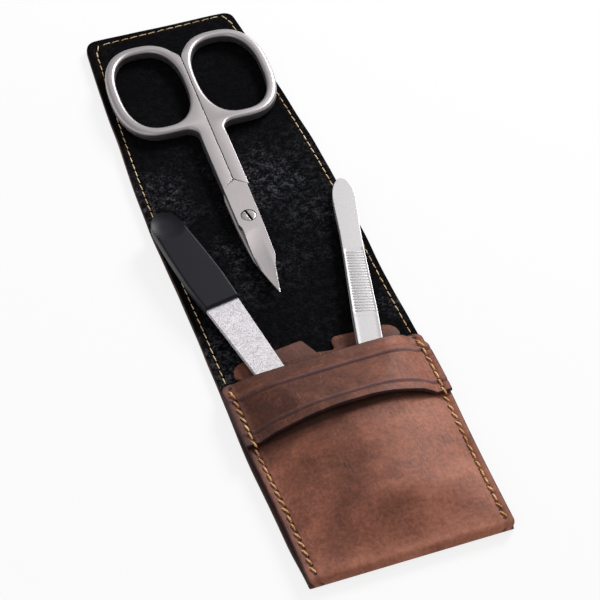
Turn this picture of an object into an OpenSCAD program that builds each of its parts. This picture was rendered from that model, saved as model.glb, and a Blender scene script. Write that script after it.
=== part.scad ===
// Folding leather manicure case, lying open, with its scissors, nail file and tweezers.
// Millimetres, +Z up. The origin is the middle of the underside of the back panel.
// Lengths along the case are measured from the bottom fold, where the pocket begins.

/* [Case] */
// Width of the case at the pocket
case_w = 49; // [46:0.5:54]
// Length of the back panel, from the bottom fold to the first crease
back_l = 108; // [104:1:116]
// Width of the strip between the two creases, which becomes the closed thickness
spine_l = 12; // [11:0.5:16]
// Length of the flap beyond the second crease
flap_l = 63; // [60:1:68]
// How far the flap narrows on each side by its far end
flap_inset = 5; // [3:0.5:7]
// Corner radius at the flap's far end
corner_r = 2.5; // [2:0.5:5]
// Corner radius at the ends of the bottom fold
fold_corner_r = 2; // [1.5:0.5:3]
// How far the sewn sides swell outwards beside the band
side_swell = 0.7; // [0:0.1:1]

/* [Leather] */
// Thickness of the outer leather
leather_t = 1.4; // [1.2:0.1:1.8]
// Thickness of the suede lining
lining_t = 0.6; // [0.4:0.1:0.9]
// Thickness of the pocket front
front_t = 1.2; // [1:0.1:1.4]
// Thickness of the tool insert
insert_t = 0.8; // [0.6:0.1:1]

/* [Pocket] */
// Height of the pocket front
pocket_h = 60; // [56:1:64]
// Width of the sewn margin on each side of the pocket
sewn_w = 3.8; // [3.4:0.1:4.2]
// Play between the file and the pocket front over it
file_room = 0.2; // [0.1:0.05:0.4]
// Play between the tweezers and the pocket front over them
tweezers_room = 0.25; // [0.2:0.05:0.6]
// Extra rise in the middle of the pocket front
crown = 1.6; // [1:0.1:2]
// Distance from the pocket's mouth down to the retaining band
band_drop = 3.2; // [2.6:0.2:4]
// Width of the retaining band
band_h = 16.4; // [14:0.2:18]
// Thickness of the retaining band
band_t = 1.2; // [1:0.1:1.4]
// Distance from the band's edges to its creased lines
band_crease = 3; // [2:0.2:4]
// Width of the tool insert
insert_w = 41.4; // [38:0.2:42]
// Height of the insert's lobes above the pocket's mouth
lobe_h = 6.5; // [6:0.5:8]
// Height of the notch between the insert's lobes above the mouth
notch_h = 2.2; // [2:0.2:3]

/* [Stitching] */
// Distance from the edge of the leather to the stitches
stitch_in = 1.9; // [1.6:0.1:2.4]
// Distance from one stitch to the next
stitch_pitch = 2.46; // [2.2:0.02:3]
// Length of one stitch
stitch_l = 1.8; // [1.4:0.1:2]
// Width of the thread
thread_w = 0.55; // [0.4:0.05:0.7]
// Height of the thread above the leather
thread_h = 0.3; // [0.2:0.05:0.4]

/* [Scissors] */
// Distance from the screw to the blade tip
blade_l = 24.4; // [23:0.2:27]
// Distance from the screw to the middle of the finger rings
ring_y = 50; // [48:0.5:54]
// Distance from the seam to the middle of a finger ring
ring_x = 10.2; // [10:0.1:11]
// Half the width of a finger hole
hole_a = 8.6; // [8:0.1:9]
// Half the length of a finger hole
hole_b = 13.9; // [13:0.1:15]
// Width of the metal around a finger hole
ring_band = 2.5; // [2.3:0.1:3]
// Thickness of the scissors at the shanks
shank_t = 3.1; // [2.8:0.1:3.4]
// Width of one shank
shank_w = 3.3; // [3:0.1:3.6]
// Radius of the screw's shaft
screw_r = 1.1; // [1:0.05:1.3]
// Radius of the screw's head
screw_head_r = 1.95; // [1.8:0.05:2.2]
// Turn of the scissors as they lie on the case
scissors_turn = -2; // [-4:0.5:0]
// Height of the scissors' underside above the lining
scissors_lift = 0.3; // [0.2:0.05:0.4]

/* [File] */
// Length of the nail file
file_l = 88; // [84:1:90]
// Length of the file's handle
handle_l = 32.5; // [30:0.5:34]
// Greatest width of the handle
handle_w = 9.5; // [9:0.1:10.4]
// Thickness of the handle
handle_t = 3; // [2.6:0.1:3.2]
// Width of the blade at the handle
file_w = 8.6; // [8:0.1:8.8]
// Thickness of the steel blade
file_t = 0.8; // [0.6:0.05:0.9]
// Thickness of the abrasive on each face
abrasive_t = 0.15; // [0.1:0.01:0.2]
// Lean of the file from the case's length
file_turn = 9.8; // [8:0.2:11]

/* [Tweezers] */
// Length of the tweezers
tweezers_l = 86; // [84:1:88]
// Thickness of one arm
arm_t = 0.9; // [0.8:0.05:1]
// Largest gap between the arms
arm_gap = 1.6; // [1.4:0.05:1.7]
// Gap between the tips
tip_gap = 1.3; // [1.1:0.05:1.4]
// Number of grip ribs on each arm
ribs = 22; // [12:1:24]
// Lean of the tweezers from the case's length
tweezers_turn = -13.2; // [-15:0.2:-12]

/* [Hidden] */

$fn = 48;
leather = "saddlebrown";
suede = "darkslategray";
steel = "silver";
thread = "goldenrod";

half_w = case_w / 2;
case_l = back_l + spine_l + flap_l;
spine_y = back_l;
flap_y = back_l + spine_l;
lining_z = leather_t + lining_t;
// Gap between panels that fold against each other
fold_gap = 0.3;
// Places along the case of the band's lower edge, the insert's lobes and its notch
band_y = pocket_h - band_drop - band_h;
lobe_y = pocket_h + lobe_h;
notch_y = pocket_h + notch_h;
// The sides start to draw in just past the first crease
taper_y = back_l + 3;
taper_power = 1.5;
// The swell of the sides is greatest beside the middle of the band
swell_y = band_y + band_h / 2;
swell_reach = 20;

// Bottom fold: the leather turns up from the back into the pocket front
flange_z = lining_z + front_t;
fold_r = flange_z / 2;
// Half the width between the sewn edges of the pocket
pocket_half = half_w - sewn_w;
// Width of the slopes beside the tools at the mouth, and above the bottom fold
left_ramp = 6;
right_ramp = 6.4;
bottom_ramp = 15;
// Below the mouth the side slopes widen by the square of the distance over these lengths
left_spread = 28;
right_spread = 36;
// Share of the crown that is left at the mouth
mouth_crown = 0.3;
// Share of its rise by which the front is drawn in along the case
draw_in = 0.3;
// How far the mouth sags towards the bottom fold, and the power that keeps this to the mouth
mouth_sag = 0.8;
sag_power = 6;
// Play between layers that lie on each other over the bulge
layer_gap = 0.06;
// Extra rise of the band at its lower edge, where the flap's end goes in
band_lift = 1;
// Pull of the band's lower edge towards the mouth over the bulge
band_pull = 1;
crease_d = 0.3;
crease_w = 0.7;
insert_corner = 3.4;
// Where the insert ends inside the pocket
insert_y = 12;
// Height of the tools' underside above the insert
tool_gap = 0.2;

hair = 0.05;
blade_gap = 0.05;
level_t = (shank_t - blade_gap) / 2;
// The shanks part here, and the step between them runs down to each side
crotch_y = 12.8;
crotch_drop = 2.4;
// The lower blade is shorter, so that its tip lies covered
tip_back = 2.6;
head_t = 0.8;
slot_w = 0.6;
slot_d = 0.35;
// The screw's place on the open case
screw_x = -1.2;
screw_y = 107.8;

// The top of the file's handle on the open case
file_x = -22.2;
file_y = 114.6;
file_tilt = 1.2;
tip_r = 2.7;
tang_l = 10;
// Height of the middle of the file's blade at its tip, and its climb to the pocket's mouth
file_tip_z = lining_z + insert_t + tool_gap + file_t / 2 + abrasive_t;
file_tip_y = file_y - file_l * cos(file_turn);
file_climb = (pocket_h - file_tip_y) * tan(file_tilt) / cos(file_turn);
// The dish near the top of the handle
dish_r = 14;
dish_d = 0.7;
dish_y = 4.6;

// The joined end of the tweezers on the open case
tweezers_x = 24.5;
tweezers_y = 112.2;
tweezers_z = lining_z + insert_t + tool_gap;
weld_l = 8;
weld_t = 0.25;
// The arms part over this length, and close again from nip_from to the tips
part_l = 42;
nip_from = 60;
// The arms thin down towards the tips
thin_from = 66;
thin_l = 16;
thin_share = 0.3;
rib_from = 25;
rib_to = 45.5;
groove_d = 0.2;
groove_w = 0.45;
groove_l = 3.8;

// Rise of the pocket front over the file and over the tweezers
bulge_left = file_tip_z + file_t / 2 + abrasive_t - lining_z + file_climb + file_room;
bulge_right = insert_t + tool_gap + 2 * arm_t + arm_gap + tweezers_room;

function ease(t) = let (u = max(0, min(1, t))) u * u * (3 - 2 * u);
function bow(t) = let (u = max(0, min(1, t))) u * (2 - u);
function mix(a, b, t) = a + (b - a) * t;
function arc(x, y, r, from, to, steps = 8) =
  [for (i = [0:steps]) let (a = mix(from, to, i / steps)) [x + r * cos(a), y + r * sin(a)]];
// Half the width of the sheet at a length along the case
function edge_x(y) = half_w + side_swell * exp(-pow((y - swell_y) / swell_reach, 2))
  - flap_inset * pow(max(0, (y - taper_y) / (case_l - taper_y)), taper_power);
// Slope of the pocket front beside the tools: steep at the sewn edge and level over the tools.
// It widens below the mouth, as the tools lean in, until the whole front is one arch.
function left_slope(x, y) =
  bow((x + pocket_half) / min(pocket_half, left_ramp + pow(pocket_h - y, 2) / left_spread));
function right_slope(x, y) =
  bow((pocket_half - x) / min(pocket_half, right_ramp + pow(pocket_h - y, 2) / right_spread));
// How far the pocket front stands above its sewn edges
function rise(x, y) =
  let (u = max(0, min(1, (x + pocket_half) / (2 * pocket_half))),
    peak = crown * mix(1, mouth_crown, ease((y - band_y) / (pocket_h - band_y))))
  (mix(bulge_left, bulge_right, u) + peak * sin(180 * u))
  * left_slope(x, y) * right_slope(x, y) * ease((y - fold_r) / bottom_ramp);
// Where a point of the front lies along the case, once the bulge has drawn it in
function drawn(x, y) = y - draw_in * rise(x, y) * y / pocket_h
  - mouth_sag * left_slope(x, y) * right_slope(x, y) * pow(y / pocket_h, sag_power);
// Share of the way from the band's upper edge to its lower edge, squared
function band_open(y) = pow((band_y + band_h - y) / band_h, 2);
// The band's gap over the pocket front: close at its upper edge, open at its lower edge
function band_gap(x, y) =
  (layer_gap + band_lift * band_open(y))
  * min(1, 3 * left_slope(x, y)) * min(1, 3 * right_slope(x, y));
function band_drawn(x, y) =
  drawn(x, y) + band_pull * band_open(y) * left_slope(x, y) * right_slope(x, y);
function creased(y) =
  let (d = min(abs(y - band_y - band_crease), abs(y - band_y - band_h + band_crease)))
  crease_d * max(0, 1 - d / crease_w);

// Moves children from the bottom fold to the origin in the middle of the back panel
module on_case() {
  translate([0, -back_l / 2, 0]) children();
}

// Closed sheet between two heights over a grid of stations, drawn in along the case
module sheet(xs, ys, along, lower, upper) {
  n = len(xs);
  m = len(ys);
  points = concat(
    [for (y = ys) for (x = xs) [x, along(x, y), lower(x, y)]],
    [for (y = ys) for (x = xs) [x, along(x, y), upper(x, y)]]);
  top = n * m;
  across = [for (j = [0:m - 2]) for (i = [0:n - 2]) j * n + i];
  faces = concat(
    [for (k = across) [k, k + 1, k + n + 1]],
    [for (k = across) [k, k + n + 1, k + n]],
    [for (k = across) [top + k, top + k + n + 1, top + k + 1]],
    [for (k = across) [top + k, top + k + n, top + k + n + 1]],
    [for (i = [0:n - 2]) [i, top + i, top + i + 1, i + 1]],
    [for (i = [0:n - 2]) let (k = (m - 1) * n + i) [k, k + 1, top + k + 1, top + k]],
    [for (j = [0:m - 2]) let (k = j * n) [k, k + n, top + k + n, top + k]],
    [for (j = [0:m - 2]) let (k = j * n + n - 1) [k, top + k, top + k + n, k + n]]);
  polyhedron(points, faces, convexity = 6);
}

// Stations across the pocket, closer over the slopes at its sides
function stations() =
  let (outer = half_w + side_swell, slope_w = 13, middle = pocket_half - slope_w)
  concat([-outer], [for (i = [0:8]) mix(-pocket_half, -middle, i / 8)],
    [for (i = [1:3]) mix(-middle, middle, i / 4)],
    [for (i = [0:8]) mix(middle, pocket_half, i / 8)], [outer]);

// Outline of the whole opened sheet between two lengths, with its corners rounded
module outline(from, to) {
  steps = 26;
  outer = half_w + side_swell;
  right = concat(arc(half_w - fold_corner_r, fold_corner_r, fold_corner_r, -90, 0, 6),
    [for (i = [1:steps - 1]) let (y = mix(fold_corner_r, case_l, i / steps)) [edge_x(y), y]],
    arc(edge_x(case_l) - corner_r, case_l - corner_r, corner_r, 0, 90));
  intersection() {
    translate([-outer, from]) square([2 * outer, to - from]);
    mirrored_outline([for (p = right) [-p[1], p[0]]], closed_half = false);
  }
}

// One flat panel of the opened sheet
module panel(from, to, z, t) {
  on_case() translate([0, 0, z]) linear_extrude(t) outline(from, to);
}

module back_panel() {
  color(leather) panel(fold_r, spine_y - fold_gap / 2, 0, leather_t);
}

module spine_panel() {
  color(leather) panel(spine_y + fold_gap / 2, flap_y - fold_gap / 2, 0, leather_t);
}

module flap_panel() {
  color(leather) panel(flap_y + fold_gap / 2, case_l, 0, leather_t);
}

module back_lining() {
  color(suede) panel(fold_r, spine_y - fold_gap / 2, leather_t, lining_t);
}

module spine_lining() {
  color(suede) panel(spine_y + fold_gap / 2, flap_y - fold_gap / 2, leather_t, lining_t);
}

module flap_lining() {
  color(suede) panel(flap_y + fold_gap / 2, case_l, leather_t, lining_t);
}

// Keeps what lies within the sheet's outline
module trimmed() {
  intersection() {
    children();
    linear_extrude(2 * (flange_z + bulge_right)) outline(0, pocket_h + 1);
  }
}

// Domed front with the half-round fold that joins it to the back
module pocket_front() {
  ys = concat(
    [for (i = [0:8]) fold_r + bottom_ramp * i / 8],
    [for (i = [1:9]) mix(fold_r + bottom_ramp, pocket_h, i / 9)]);
  color(leather) on_case() trimmed() {
    sheet(stations(), ys,
      function(x, y) drawn(x, y),
      function(x, y) lining_z + rise(x, y),
      function(x, y) flange_z + rise(x, y));
    intersection() {
      translate([-half_w, 0, 0]) cube([case_w, fold_r, flange_z]);
      translate([-half_w, fold_r, fold_r]) rotate([0, 90, 0]) difference() {
        cylinder(r = fold_r, h = case_w);
        translate([0, 0, -1]) cylinder(r = fold_r - front_t, h = case_w + 2);
      }
    }
  }
}

// Arched strip across the pocket, sewn down at both sides
module retaining_band() {
  near_crease = [-crease_w, 0, crease_w];
  ys = concat([band_y],
    [for (d = near_crease) band_y + band_crease + d],
    [for (i = [1:3]) band_y + mix(band_crease, band_h - band_crease, i / 4)],
    [for (d = near_crease) band_y + band_h - band_crease + d],
    [band_y + band_h]);
  color(leather) on_case() trimmed()
    sheet(stations(), ys,
      function(x, y) band_drawn(x, y),
      function(x, y) flange_z + rise(x, y) + band_gap(x, y),
      function(x, y) flange_z + rise(x, y) + band_gap(x, y) + band_t - creased(y));
}

// Flat sheet behind the tools, with two lobes and a notch at its mouth. It narrows inside
// the pocket, where the front comes down to its sewn edges.
module tool_insert() {
  h = insert_w / 2;
  foot = 13;
  waist = pocket_half - 2.9;
  notch_left = 0;
  notch_right = 4.4;
  color(leather) on_case() translate([0, 0, lining_z]) linear_extrude(insert_t)
    polygon(concat(
      [[-foot, insert_y], [foot, insert_y], [waist, pocket_h - 3]],
      [[waist + 0.8, pocket_h + 0.2], [h, pocket_h + 1.5]],
      arc(h - insert_corner, lobe_y - 1 - insert_corner, insert_corner, 0, 90),
      [[notch_right + 3.2, lobe_y - 0.6]],
      arc(notch_right + 1.6, lobe_y - 2.1, 1.6, 90, 180, 5),
      [[notch_right, notch_y + 0.4], [notch_right - 0.8, notch_y], [notch_left, notch_y + 0.6],
       [-2, lobe_y + 0.6], [-2.6, lobe_y + 1]],
      arc(-h + insert_corner, lobe_y - 0.8 - insert_corner, insert_corner, 90, 180),
      [[-h, pocket_h + 1.5], [-waist - 0.8, pocket_h + 0.2], [-waist, pocket_h - 3]]));
}

// One stitch lying along +Y on a surface
module stitch() {
  translate([-thread_w / 2, -stitch_l / 2, 0]) cube([thread_w, stitch_l, thread_h]);
}

// A row of stitches along both sides of the sheet between two lengths
module side_rows(from, to, z) {
  count = floor((to - from) / stitch_pitch);
  first = (from + to - (count - 1) * stitch_pitch) / 2;
  on_case() for (i = [0:count - 1]) {
    y = first + i * stitch_pitch;
    lean = atan((edge_x(y + 1) - edge_x(y - 1)) / 2);
    for (side = [-1, 1])
      translate([side * (edge_x(y) - stitch_in), y, z]) rotate(-side * lean) stitch();
  }
}

// Stitches that close the sides of the pocket and hold the band's ends
module pocket_thread() {
  color(thread) {
    side_rows(fold_r + 1, band_y, flange_z);
    side_rows(band_y, band_y + band_h, flange_z + band_t);
    side_rows(band_y + band_h, pocket_h, flange_z);
  }
}

module back_thread() {
  color(thread) side_rows(pocket_h + 0.4, spine_y - fold_gap / 2, lining_z);
}

module spine_thread() {
  color(thread) side_rows(spine_y + fold_gap / 2, flap_y - fold_gap / 2, lining_z);
}

module flap_thread() {
  across = 2 * (edge_x(case_l) - corner_r);
  count = floor(across / stitch_pitch);
  color(thread) {
    side_rows(flap_y + fold_gap / 2, case_l - corner_r - 1, lining_z);
    on_case() for (i = [0:count - 1])
      translate([(i - (count - 1) / 2) * stitch_pitch, case_l - stitch_in, lining_z])
        rotate(90) stitch();
  }
}

// Rounded-square oval
module oval(a, b, power = 2.5) {
  steps = 56;
  polygon([for (i = [0:steps - 1]) let (t = 360 * i / steps)
    [a * sign(cos(t)) * pow(abs(cos(t)), 2 / power),
     b * sign(sin(t)) * pow(abs(sin(t)), 2 / power)]]);
}

// Finger ring in three steps, so that its edges are eased
module finger_ring() {
  for (step = [[0, shank_t], [0.35, shank_t - 0.7], [0.7, shank_t - 1.6]])
    translate([-ring_x, ring_y, -step[1] / 2]) linear_extrude(step[1]) difference() {
      oval(hole_a + ring_band - 0.7 + step[0], hole_b + ring_band - 0.7 + step[0]);
      oval(hole_a + 0.7 - step[0], hole_b + 0.7 - step[0]);
    }
}

// One half of the scissors, with its ring on the left and its blade on the upper level.
// The other half is this one turned over about the length.
module scissors_half(tip_l) {
  ring_foot = ring_y - hole_b - ring_band;
  fillet = 2.6;
  difference() {
    union() {
      finger_ring();
      translate([0, 0, -shank_t / 2]) linear_extrude(shank_t) difference() {
        polygon(concat(
          [[0, crotch_y], [0, ring_y]],
          [[-hole_a, ring_foot + 2.2], [-shank_w - fillet - 2, ring_foot + 0.5]],
          arc(-shank_w - fillet, ring_foot - fillet, fillet, 90, 0),
          [[-shank_w, crotch_y - crotch_drop]]));
        translate([-ring_x, ring_y]) oval(hole_a, hole_b);
      }
      translate([0, 0, blade_gap / 2]) linear_extrude(level_t) polygon([
        [0, crotch_y - hair], [-hair, crotch_y + 1], [-shank_w, crotch_y + 1],
        [-2.9, -1], [-3.1, -3], [-2.6, -4.2], [-2.9, -8], [-2.7, -tip_l + 11],
        [-1.9, -tip_l + 7], [-0.8, -tip_l + 3.5], [0.35, -tip_l], [0.8, -tip_l + 2.8],
        [1.5, -tip_l + 6.4], [2.6, -tip_l + 10.6], [2.9, -11], [3.1, 0],
        [3.1, crotch_y - crotch_drop - hair]]);
    }
    translate([-hair / 2, crotch_y, -shank_t]) cube([30, ring_y + 30, 2 * shank_t]);
  }
}

// Places the scissors, lying closed on the open case
module on_scissors() {
  on_case() translate([screw_x, screw_y, lining_z + scissors_lift + shank_t / 2])
    rotate(scissors_turn) children();
}

module scissors_upper_half() {
  color(steel) on_scissors() difference() {
    scissors_half(blade_l);
    translate([0, 0, -shank_t]) cylinder(r = screw_r + hair, h = 2 * shank_t);
    translate([0, 0, shank_t / 2 - head_t])
      cylinder(r = screw_head_r + hair, h = shank_t);
  }
}

module scissors_lower_half() {
  color(steel) on_scissors() difference() {
    rotate([0, 180, 0]) scissors_half(blade_l - tip_back);
    translate([0, 0, -shank_t]) cylinder(r = screw_r, h = 2 * shank_t);
  }
}

// Slotted screw, turned into the lower half
module scissors_screw() {
  color(steel) on_scissors() difference() {
    union() {
      translate([0, 0, -shank_t / 2]) cylinder(r = screw_r, h = shank_t - head_t + hair);
      translate([0, 0, shank_t / 2 - head_t + hair]) cylinder(r = screw_head_r, h = head_t);
    }
    translate([-screw_head_r - 1, -slot_w / 2, shank_t / 2 + hair - slot_d])
      cube([2 * screw_head_r + 2, slot_w, 1]);
  }
}

// Places the file: its length runs from the top of the handle towards -Y
module on_file() {
  rise_z = file_l * sin(file_tilt);
  on_case() translate([file_x, file_y, file_tip_z + rise_z])
    rotate([0, 0, file_turn]) rotate([file_tilt, 0, 0]) children();
}

// Half outline of the file's handle: [distance from the top, half width]
function handle_half() = let (h = handle_w / 2) [
  [0, 0], [0.35, 0.3 * h], [1.4, 0.55 * h], [3.2, 0.71 * h], [8, 0.84 * h], [15, 0.94 * h],
  [handle_l * 0.74, h], [handle_l, h - 0.25]];

module mirrored_outline(half, closed_half = true) {
  last = closed_half ? 1 : 0;
  polygon(concat([for (p = half) [p[1], -p[0]]],
    [for (i = [len(half) - 1:-1:last]) [-half[i][1], -half[i][0]]]));
}

// Tapered blade with a round tip, from inside the handle to the far end
module blade_outline(inset) {
  w = file_w - 2 * inset;
  hull() {
    translate([0, -file_l + tip_r]) circle(r = tip_r - inset, $fn = 32);
    translate([-w / 2, -handle_l]) square([w, hair]);
  }
  translate([-w / 2, -handle_l]) square([w, tang_l]);
}

module file_blade() {
  color(steel) on_file() translate([0, 0, -file_t / 2]) linear_extrude(file_t)
    blade_outline(0);
}

// Gritty coat on both faces of the blade, up to the handle
module file_abrasive() {
  coat_inset = 0.15;
  color("lightgray") on_file() for (side = [0, 1]) mirror([0, 0, side])
    translate([0, 0, file_t / 2]) linear_extrude(abrasive_t) difference() {
      blade_outline(coat_inset);
      translate([-file_w, -handle_l]) square([2 * file_w, 2 * tang_l]);
    }
}

// Flat plastic handle with a shallow dish for the fingertip, moulded round the blade
module file_handle() {
  color("dimgray") on_file() difference() {
    translate([0, 0, -handle_t / 2]) linear_extrude(handle_t)
      mirrored_outline(handle_half());
    for (side = [-1, 1])
      translate([0, -dish_y, side * (handle_t / 2 - dish_d + dish_r)]) sphere(r = dish_r);
    translate([0, 0, -file_t / 2]) linear_extrude(file_t) blade_outline(0);
  }
}

// Places the tweezers: their length runs from the joined end towards -Y
module on_tweezers() {
  on_case() translate([tweezers_x, tweezers_y, tweezers_z]) rotate(tweezers_turn) children();
}

// Half outline of an arm: [distance from the joined end, half width]
function arm_half() = [
  [0, 0], [0.3, 0.9], [1.1, 1.6], [3, 2.15], [8, 2.55], [rib_from, 2.55],
  [rib_to, 2.85], [54, 2.9], [62, 2.8], [tweezers_l - 4, 1.4], [tweezers_l, 1.1]];

// Gap between the arms at a distance from the joined end
function gap_at(s) =
  weld_t + (arm_gap - weld_t) * ease((s - weld_l) / part_l)
  - (arm_gap - tip_gap) * ease((s - nip_from) / (tweezers_l - nip_from));

// An arm that is arm_t thick, with the height of its underside given by a function
module arm(bottom) {
  steps = 24;
  ss = [for (i = [0:steps]) tweezers_l * i / steps];
  thin = function(s) arm_t * (1 - thin_share * ease((s - thin_from) / thin_l));
  intersection() {
    linear_extrude(2 * arm_t + arm_gap + 1) mirrored_outline(arm_half());
    rotate([90, 0, -90]) translate([0, 0, -groove_l]) linear_extrude(2 * groove_l)
      polygon(concat([for (s = ss) [s, bottom(s)]],
        [for (i = [steps:-1:0]) [ss[i], bottom(ss[i]) + thin(ss[i])]]));
  }
}

// Cuts for the grip ribs, each reaching down to a height given by a function
module grooves(floor_z, depth) {
  for (i = [0:ribs - 1]) {
    s = mix(rib_from, rib_to, (i + 0.5) / ribs);
    translate([-groove_l / 2, -s, floor_z(s)]) cube([groove_l, groove_w, depth]);
  }
}

module tweezers_lower_arm() {
  color(steel) on_tweezers() difference() {
    arm(function(s) 0);
    grooves(function(s) groove_d - arm_t, arm_t);
  }
}

module tweezers_upper_arm() {
  color(steel) on_tweezers() difference() {
    arm(function(s) arm_t + gap_at(s));
    grooves(function(s) 2 * arm_t + gap_at(s) - groove_d, arm_t);
  }
}

// The fused metal that joins the arms at their end
module tweezers_weld() {
  edge = 0.6;
  color(steel) on_tweezers() translate([0, 0, arm_t]) linear_extrude(weld_t - hair)
    intersection() {
      mirrored_outline(arm_half());
      translate([-3, -weld_l]) square([6, weld_l - edge]);
    }
}

back_panel();
spine_panel();
flap_panel();
back_lining();
spine_lining();
flap_lining();
pocket_front();
retaining_band();
tool_insert();
pocket_thread();
back_thread();
spine_thread();
flap_thread();
scissors_upper_half();
scissors_lower_half();
scissors_screw();
file_handle();
file_blade();
file_abrasive();
tweezers_lower_arm();
tweezers_upper_arm();
tweezers_weld();
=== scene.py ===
# %% [markdown]
# # A manicure set in its folding leather case
#
# The case lies open. Its outer leather is one strip that turns up at the near end into a
# domed pocket, a band arches across that pocket, and a dark suede lining carries a pair of
# nail scissors, a nail file and a pair of tweezers. The shapes stand around a imported model
# whose bodies already move, and a piece that lies on one of those bodies is tied to it.

# %% Load the imported model
import math

import bmesh
import bpy
import numpy as np
from mathutils import Matrix, Vector, noise
from mathutils.geometry import tessellate_polygon


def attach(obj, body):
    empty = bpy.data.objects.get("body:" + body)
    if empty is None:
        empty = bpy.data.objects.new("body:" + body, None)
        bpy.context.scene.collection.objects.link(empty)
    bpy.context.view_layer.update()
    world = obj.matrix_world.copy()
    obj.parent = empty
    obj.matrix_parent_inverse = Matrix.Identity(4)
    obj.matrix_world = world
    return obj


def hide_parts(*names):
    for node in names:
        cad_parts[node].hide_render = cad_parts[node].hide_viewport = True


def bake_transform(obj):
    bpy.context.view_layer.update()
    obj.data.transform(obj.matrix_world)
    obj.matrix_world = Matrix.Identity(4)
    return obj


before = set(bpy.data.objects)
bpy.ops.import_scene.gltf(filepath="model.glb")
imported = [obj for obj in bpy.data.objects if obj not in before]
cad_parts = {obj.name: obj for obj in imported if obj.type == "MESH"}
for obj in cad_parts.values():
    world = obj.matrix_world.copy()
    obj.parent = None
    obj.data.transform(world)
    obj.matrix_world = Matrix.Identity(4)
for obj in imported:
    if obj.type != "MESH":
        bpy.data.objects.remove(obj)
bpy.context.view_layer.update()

# %% [markdown]
# ## Sizes
#
# Blender works in metres, but a leather worker and a cutler both think in millimetres. All
# sizes below are in millimetres and are scaled once, when a mesh is made. Lengths along the
# case start at the bottom fold, and the model's origin is in the middle of the back panel.

# %% Sizes of the case
MM = 0.001
HALF_W = 24.5
BACK_L, SPINE_L, FLAP_L = 108.0, 12.0, 63.0
CASE_L = BACK_L + SPINE_L + FLAP_L
MID_SPINE = BACK_L + SPINE_L / 2
FLAP_INSET, CORNER_R, FOLD_CORNER_R = 5.0, 2.5, 1.1
SWELL, SWELL_REACH = 0.7, 20.0
LEATHER_T, LINING_T, FRONT_T = 1.4, 0.6, 1.2
LINING_Z = LEATHER_T + LINING_T
FLANGE_Z = LINING_Z + FRONT_T
FOLD_R, FOLD_REACH = FLANGE_Z / 2, 2.2
SPINE_FOLD, FLAP_FOLD = BACK_L, BACK_L + SPINE_L
POCKET_H, BAND_H = 60.0, 16.4
BAND_Y = POCKET_H - 3.2 - BAND_H
SWELL_Y = BAND_Y + BAND_H / 2
TAPER_Y = BACK_L + 3
# A row's distance from the edge, its step, and where the rows along the sides begin
STITCH_IN, STITCH_PITCH, ROW_START = 1.7, 2.46, 3.4


def ease(value, low=0.0, high=1.0):
    """Runs from 0 at low to 1 at high with a soft start and a soft end."""
    t = np.clip((value - low) / (high - low), 0, 1)
    return t * t * (3 - 2 * t)


def edge_x(y):
    """Half the width of the cut strip at a length along the case."""
    swell = SWELL * np.exp(-(((y - SWELL_Y) / SWELL_REACH) ** 2))
    taper = np.maximum(0, (y - TAPER_Y) / (CASE_L - TAPER_Y)) ** 1.5
    return HALF_W + swell - FLAP_INSET * taper


def half_width(y):
    """The same with the rounded corners at both ends."""
    far = np.maximum(0, y - (CASE_L - CORNER_R))
    near = np.maximum(0, FOLD_CORNER_R - y)
    return (
        edge_x(y)
        - (CORNER_R - np.sqrt(np.maximum(0, CORNER_R**2 - far**2)))
        - (FOLD_CORNER_R - np.sqrt(np.maximum(0, FOLD_CORNER_R**2 - near**2)))
    )


print("the open case measures", CASE_L, "by", round(2 * float(edge_x(SWELL_Y)), 1), "mm")

# %% [markdown]
# ## Writing node trees as formulas
#
# Both materials and Geometry Nodes are node trees, and a formula in nodes soon turns into a
# tangle. One small class wraps an output socket, so that `1 - mask * 0.5` in Python adds the
# Math nodes that compute it. A second one adds every other node from its type, its settings
# and what goes into its sockets.


# %% Output sockets that can be used in formulas
class Wire:
    """An output socket that can be used in sums."""

    def __init__(self, graph, socket):
        self.graph, self.socket = graph, socket

    def __add__(self, other):
        return self.graph.math("ADD", self, other)

    def __sub__(self, other):
        return self.graph.math("SUBTRACT", self, other)

    def __rsub__(self, other):
        return self.graph.math("SUBTRACT", other, self)

    def __mul__(self, other):
        return self.graph.math("MULTIPLY", self, other)

    def __truediv__(self, other):
        return self.graph.math("DIVIDE", self, other)

    def __rtruediv__(self, other):
        return self.graph.math("DIVIDE", other, self)

    def __pow__(self, other):
        return self.graph.math("POWER", self, other)

    def __abs__(self):
        return self.graph.math("ABSOLUTE", self)

    __radd__, __rmul__ = __add__, __mul__

    def ease(self, low=0.0, high=1.0):
        settings = {"interpolation_type": "SMOOTHSTEP"}
        sockets = {"Value": self, "From Min": low, "From Max": high}
        return self.graph.wire("ShaderNodeMapRange", sockets, **settings)

    def bow(self):
        """Runs from 0 to 1 with a steep start and a level end."""
        t = self.floor(0).top(1)
        return t * (2 - t)

    def top(self, limit):
        return self.graph.math("MINIMUM", self, limit)

    def floor(self, limit):
        return self.graph.math("MAXIMUM", self, limit)


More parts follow.
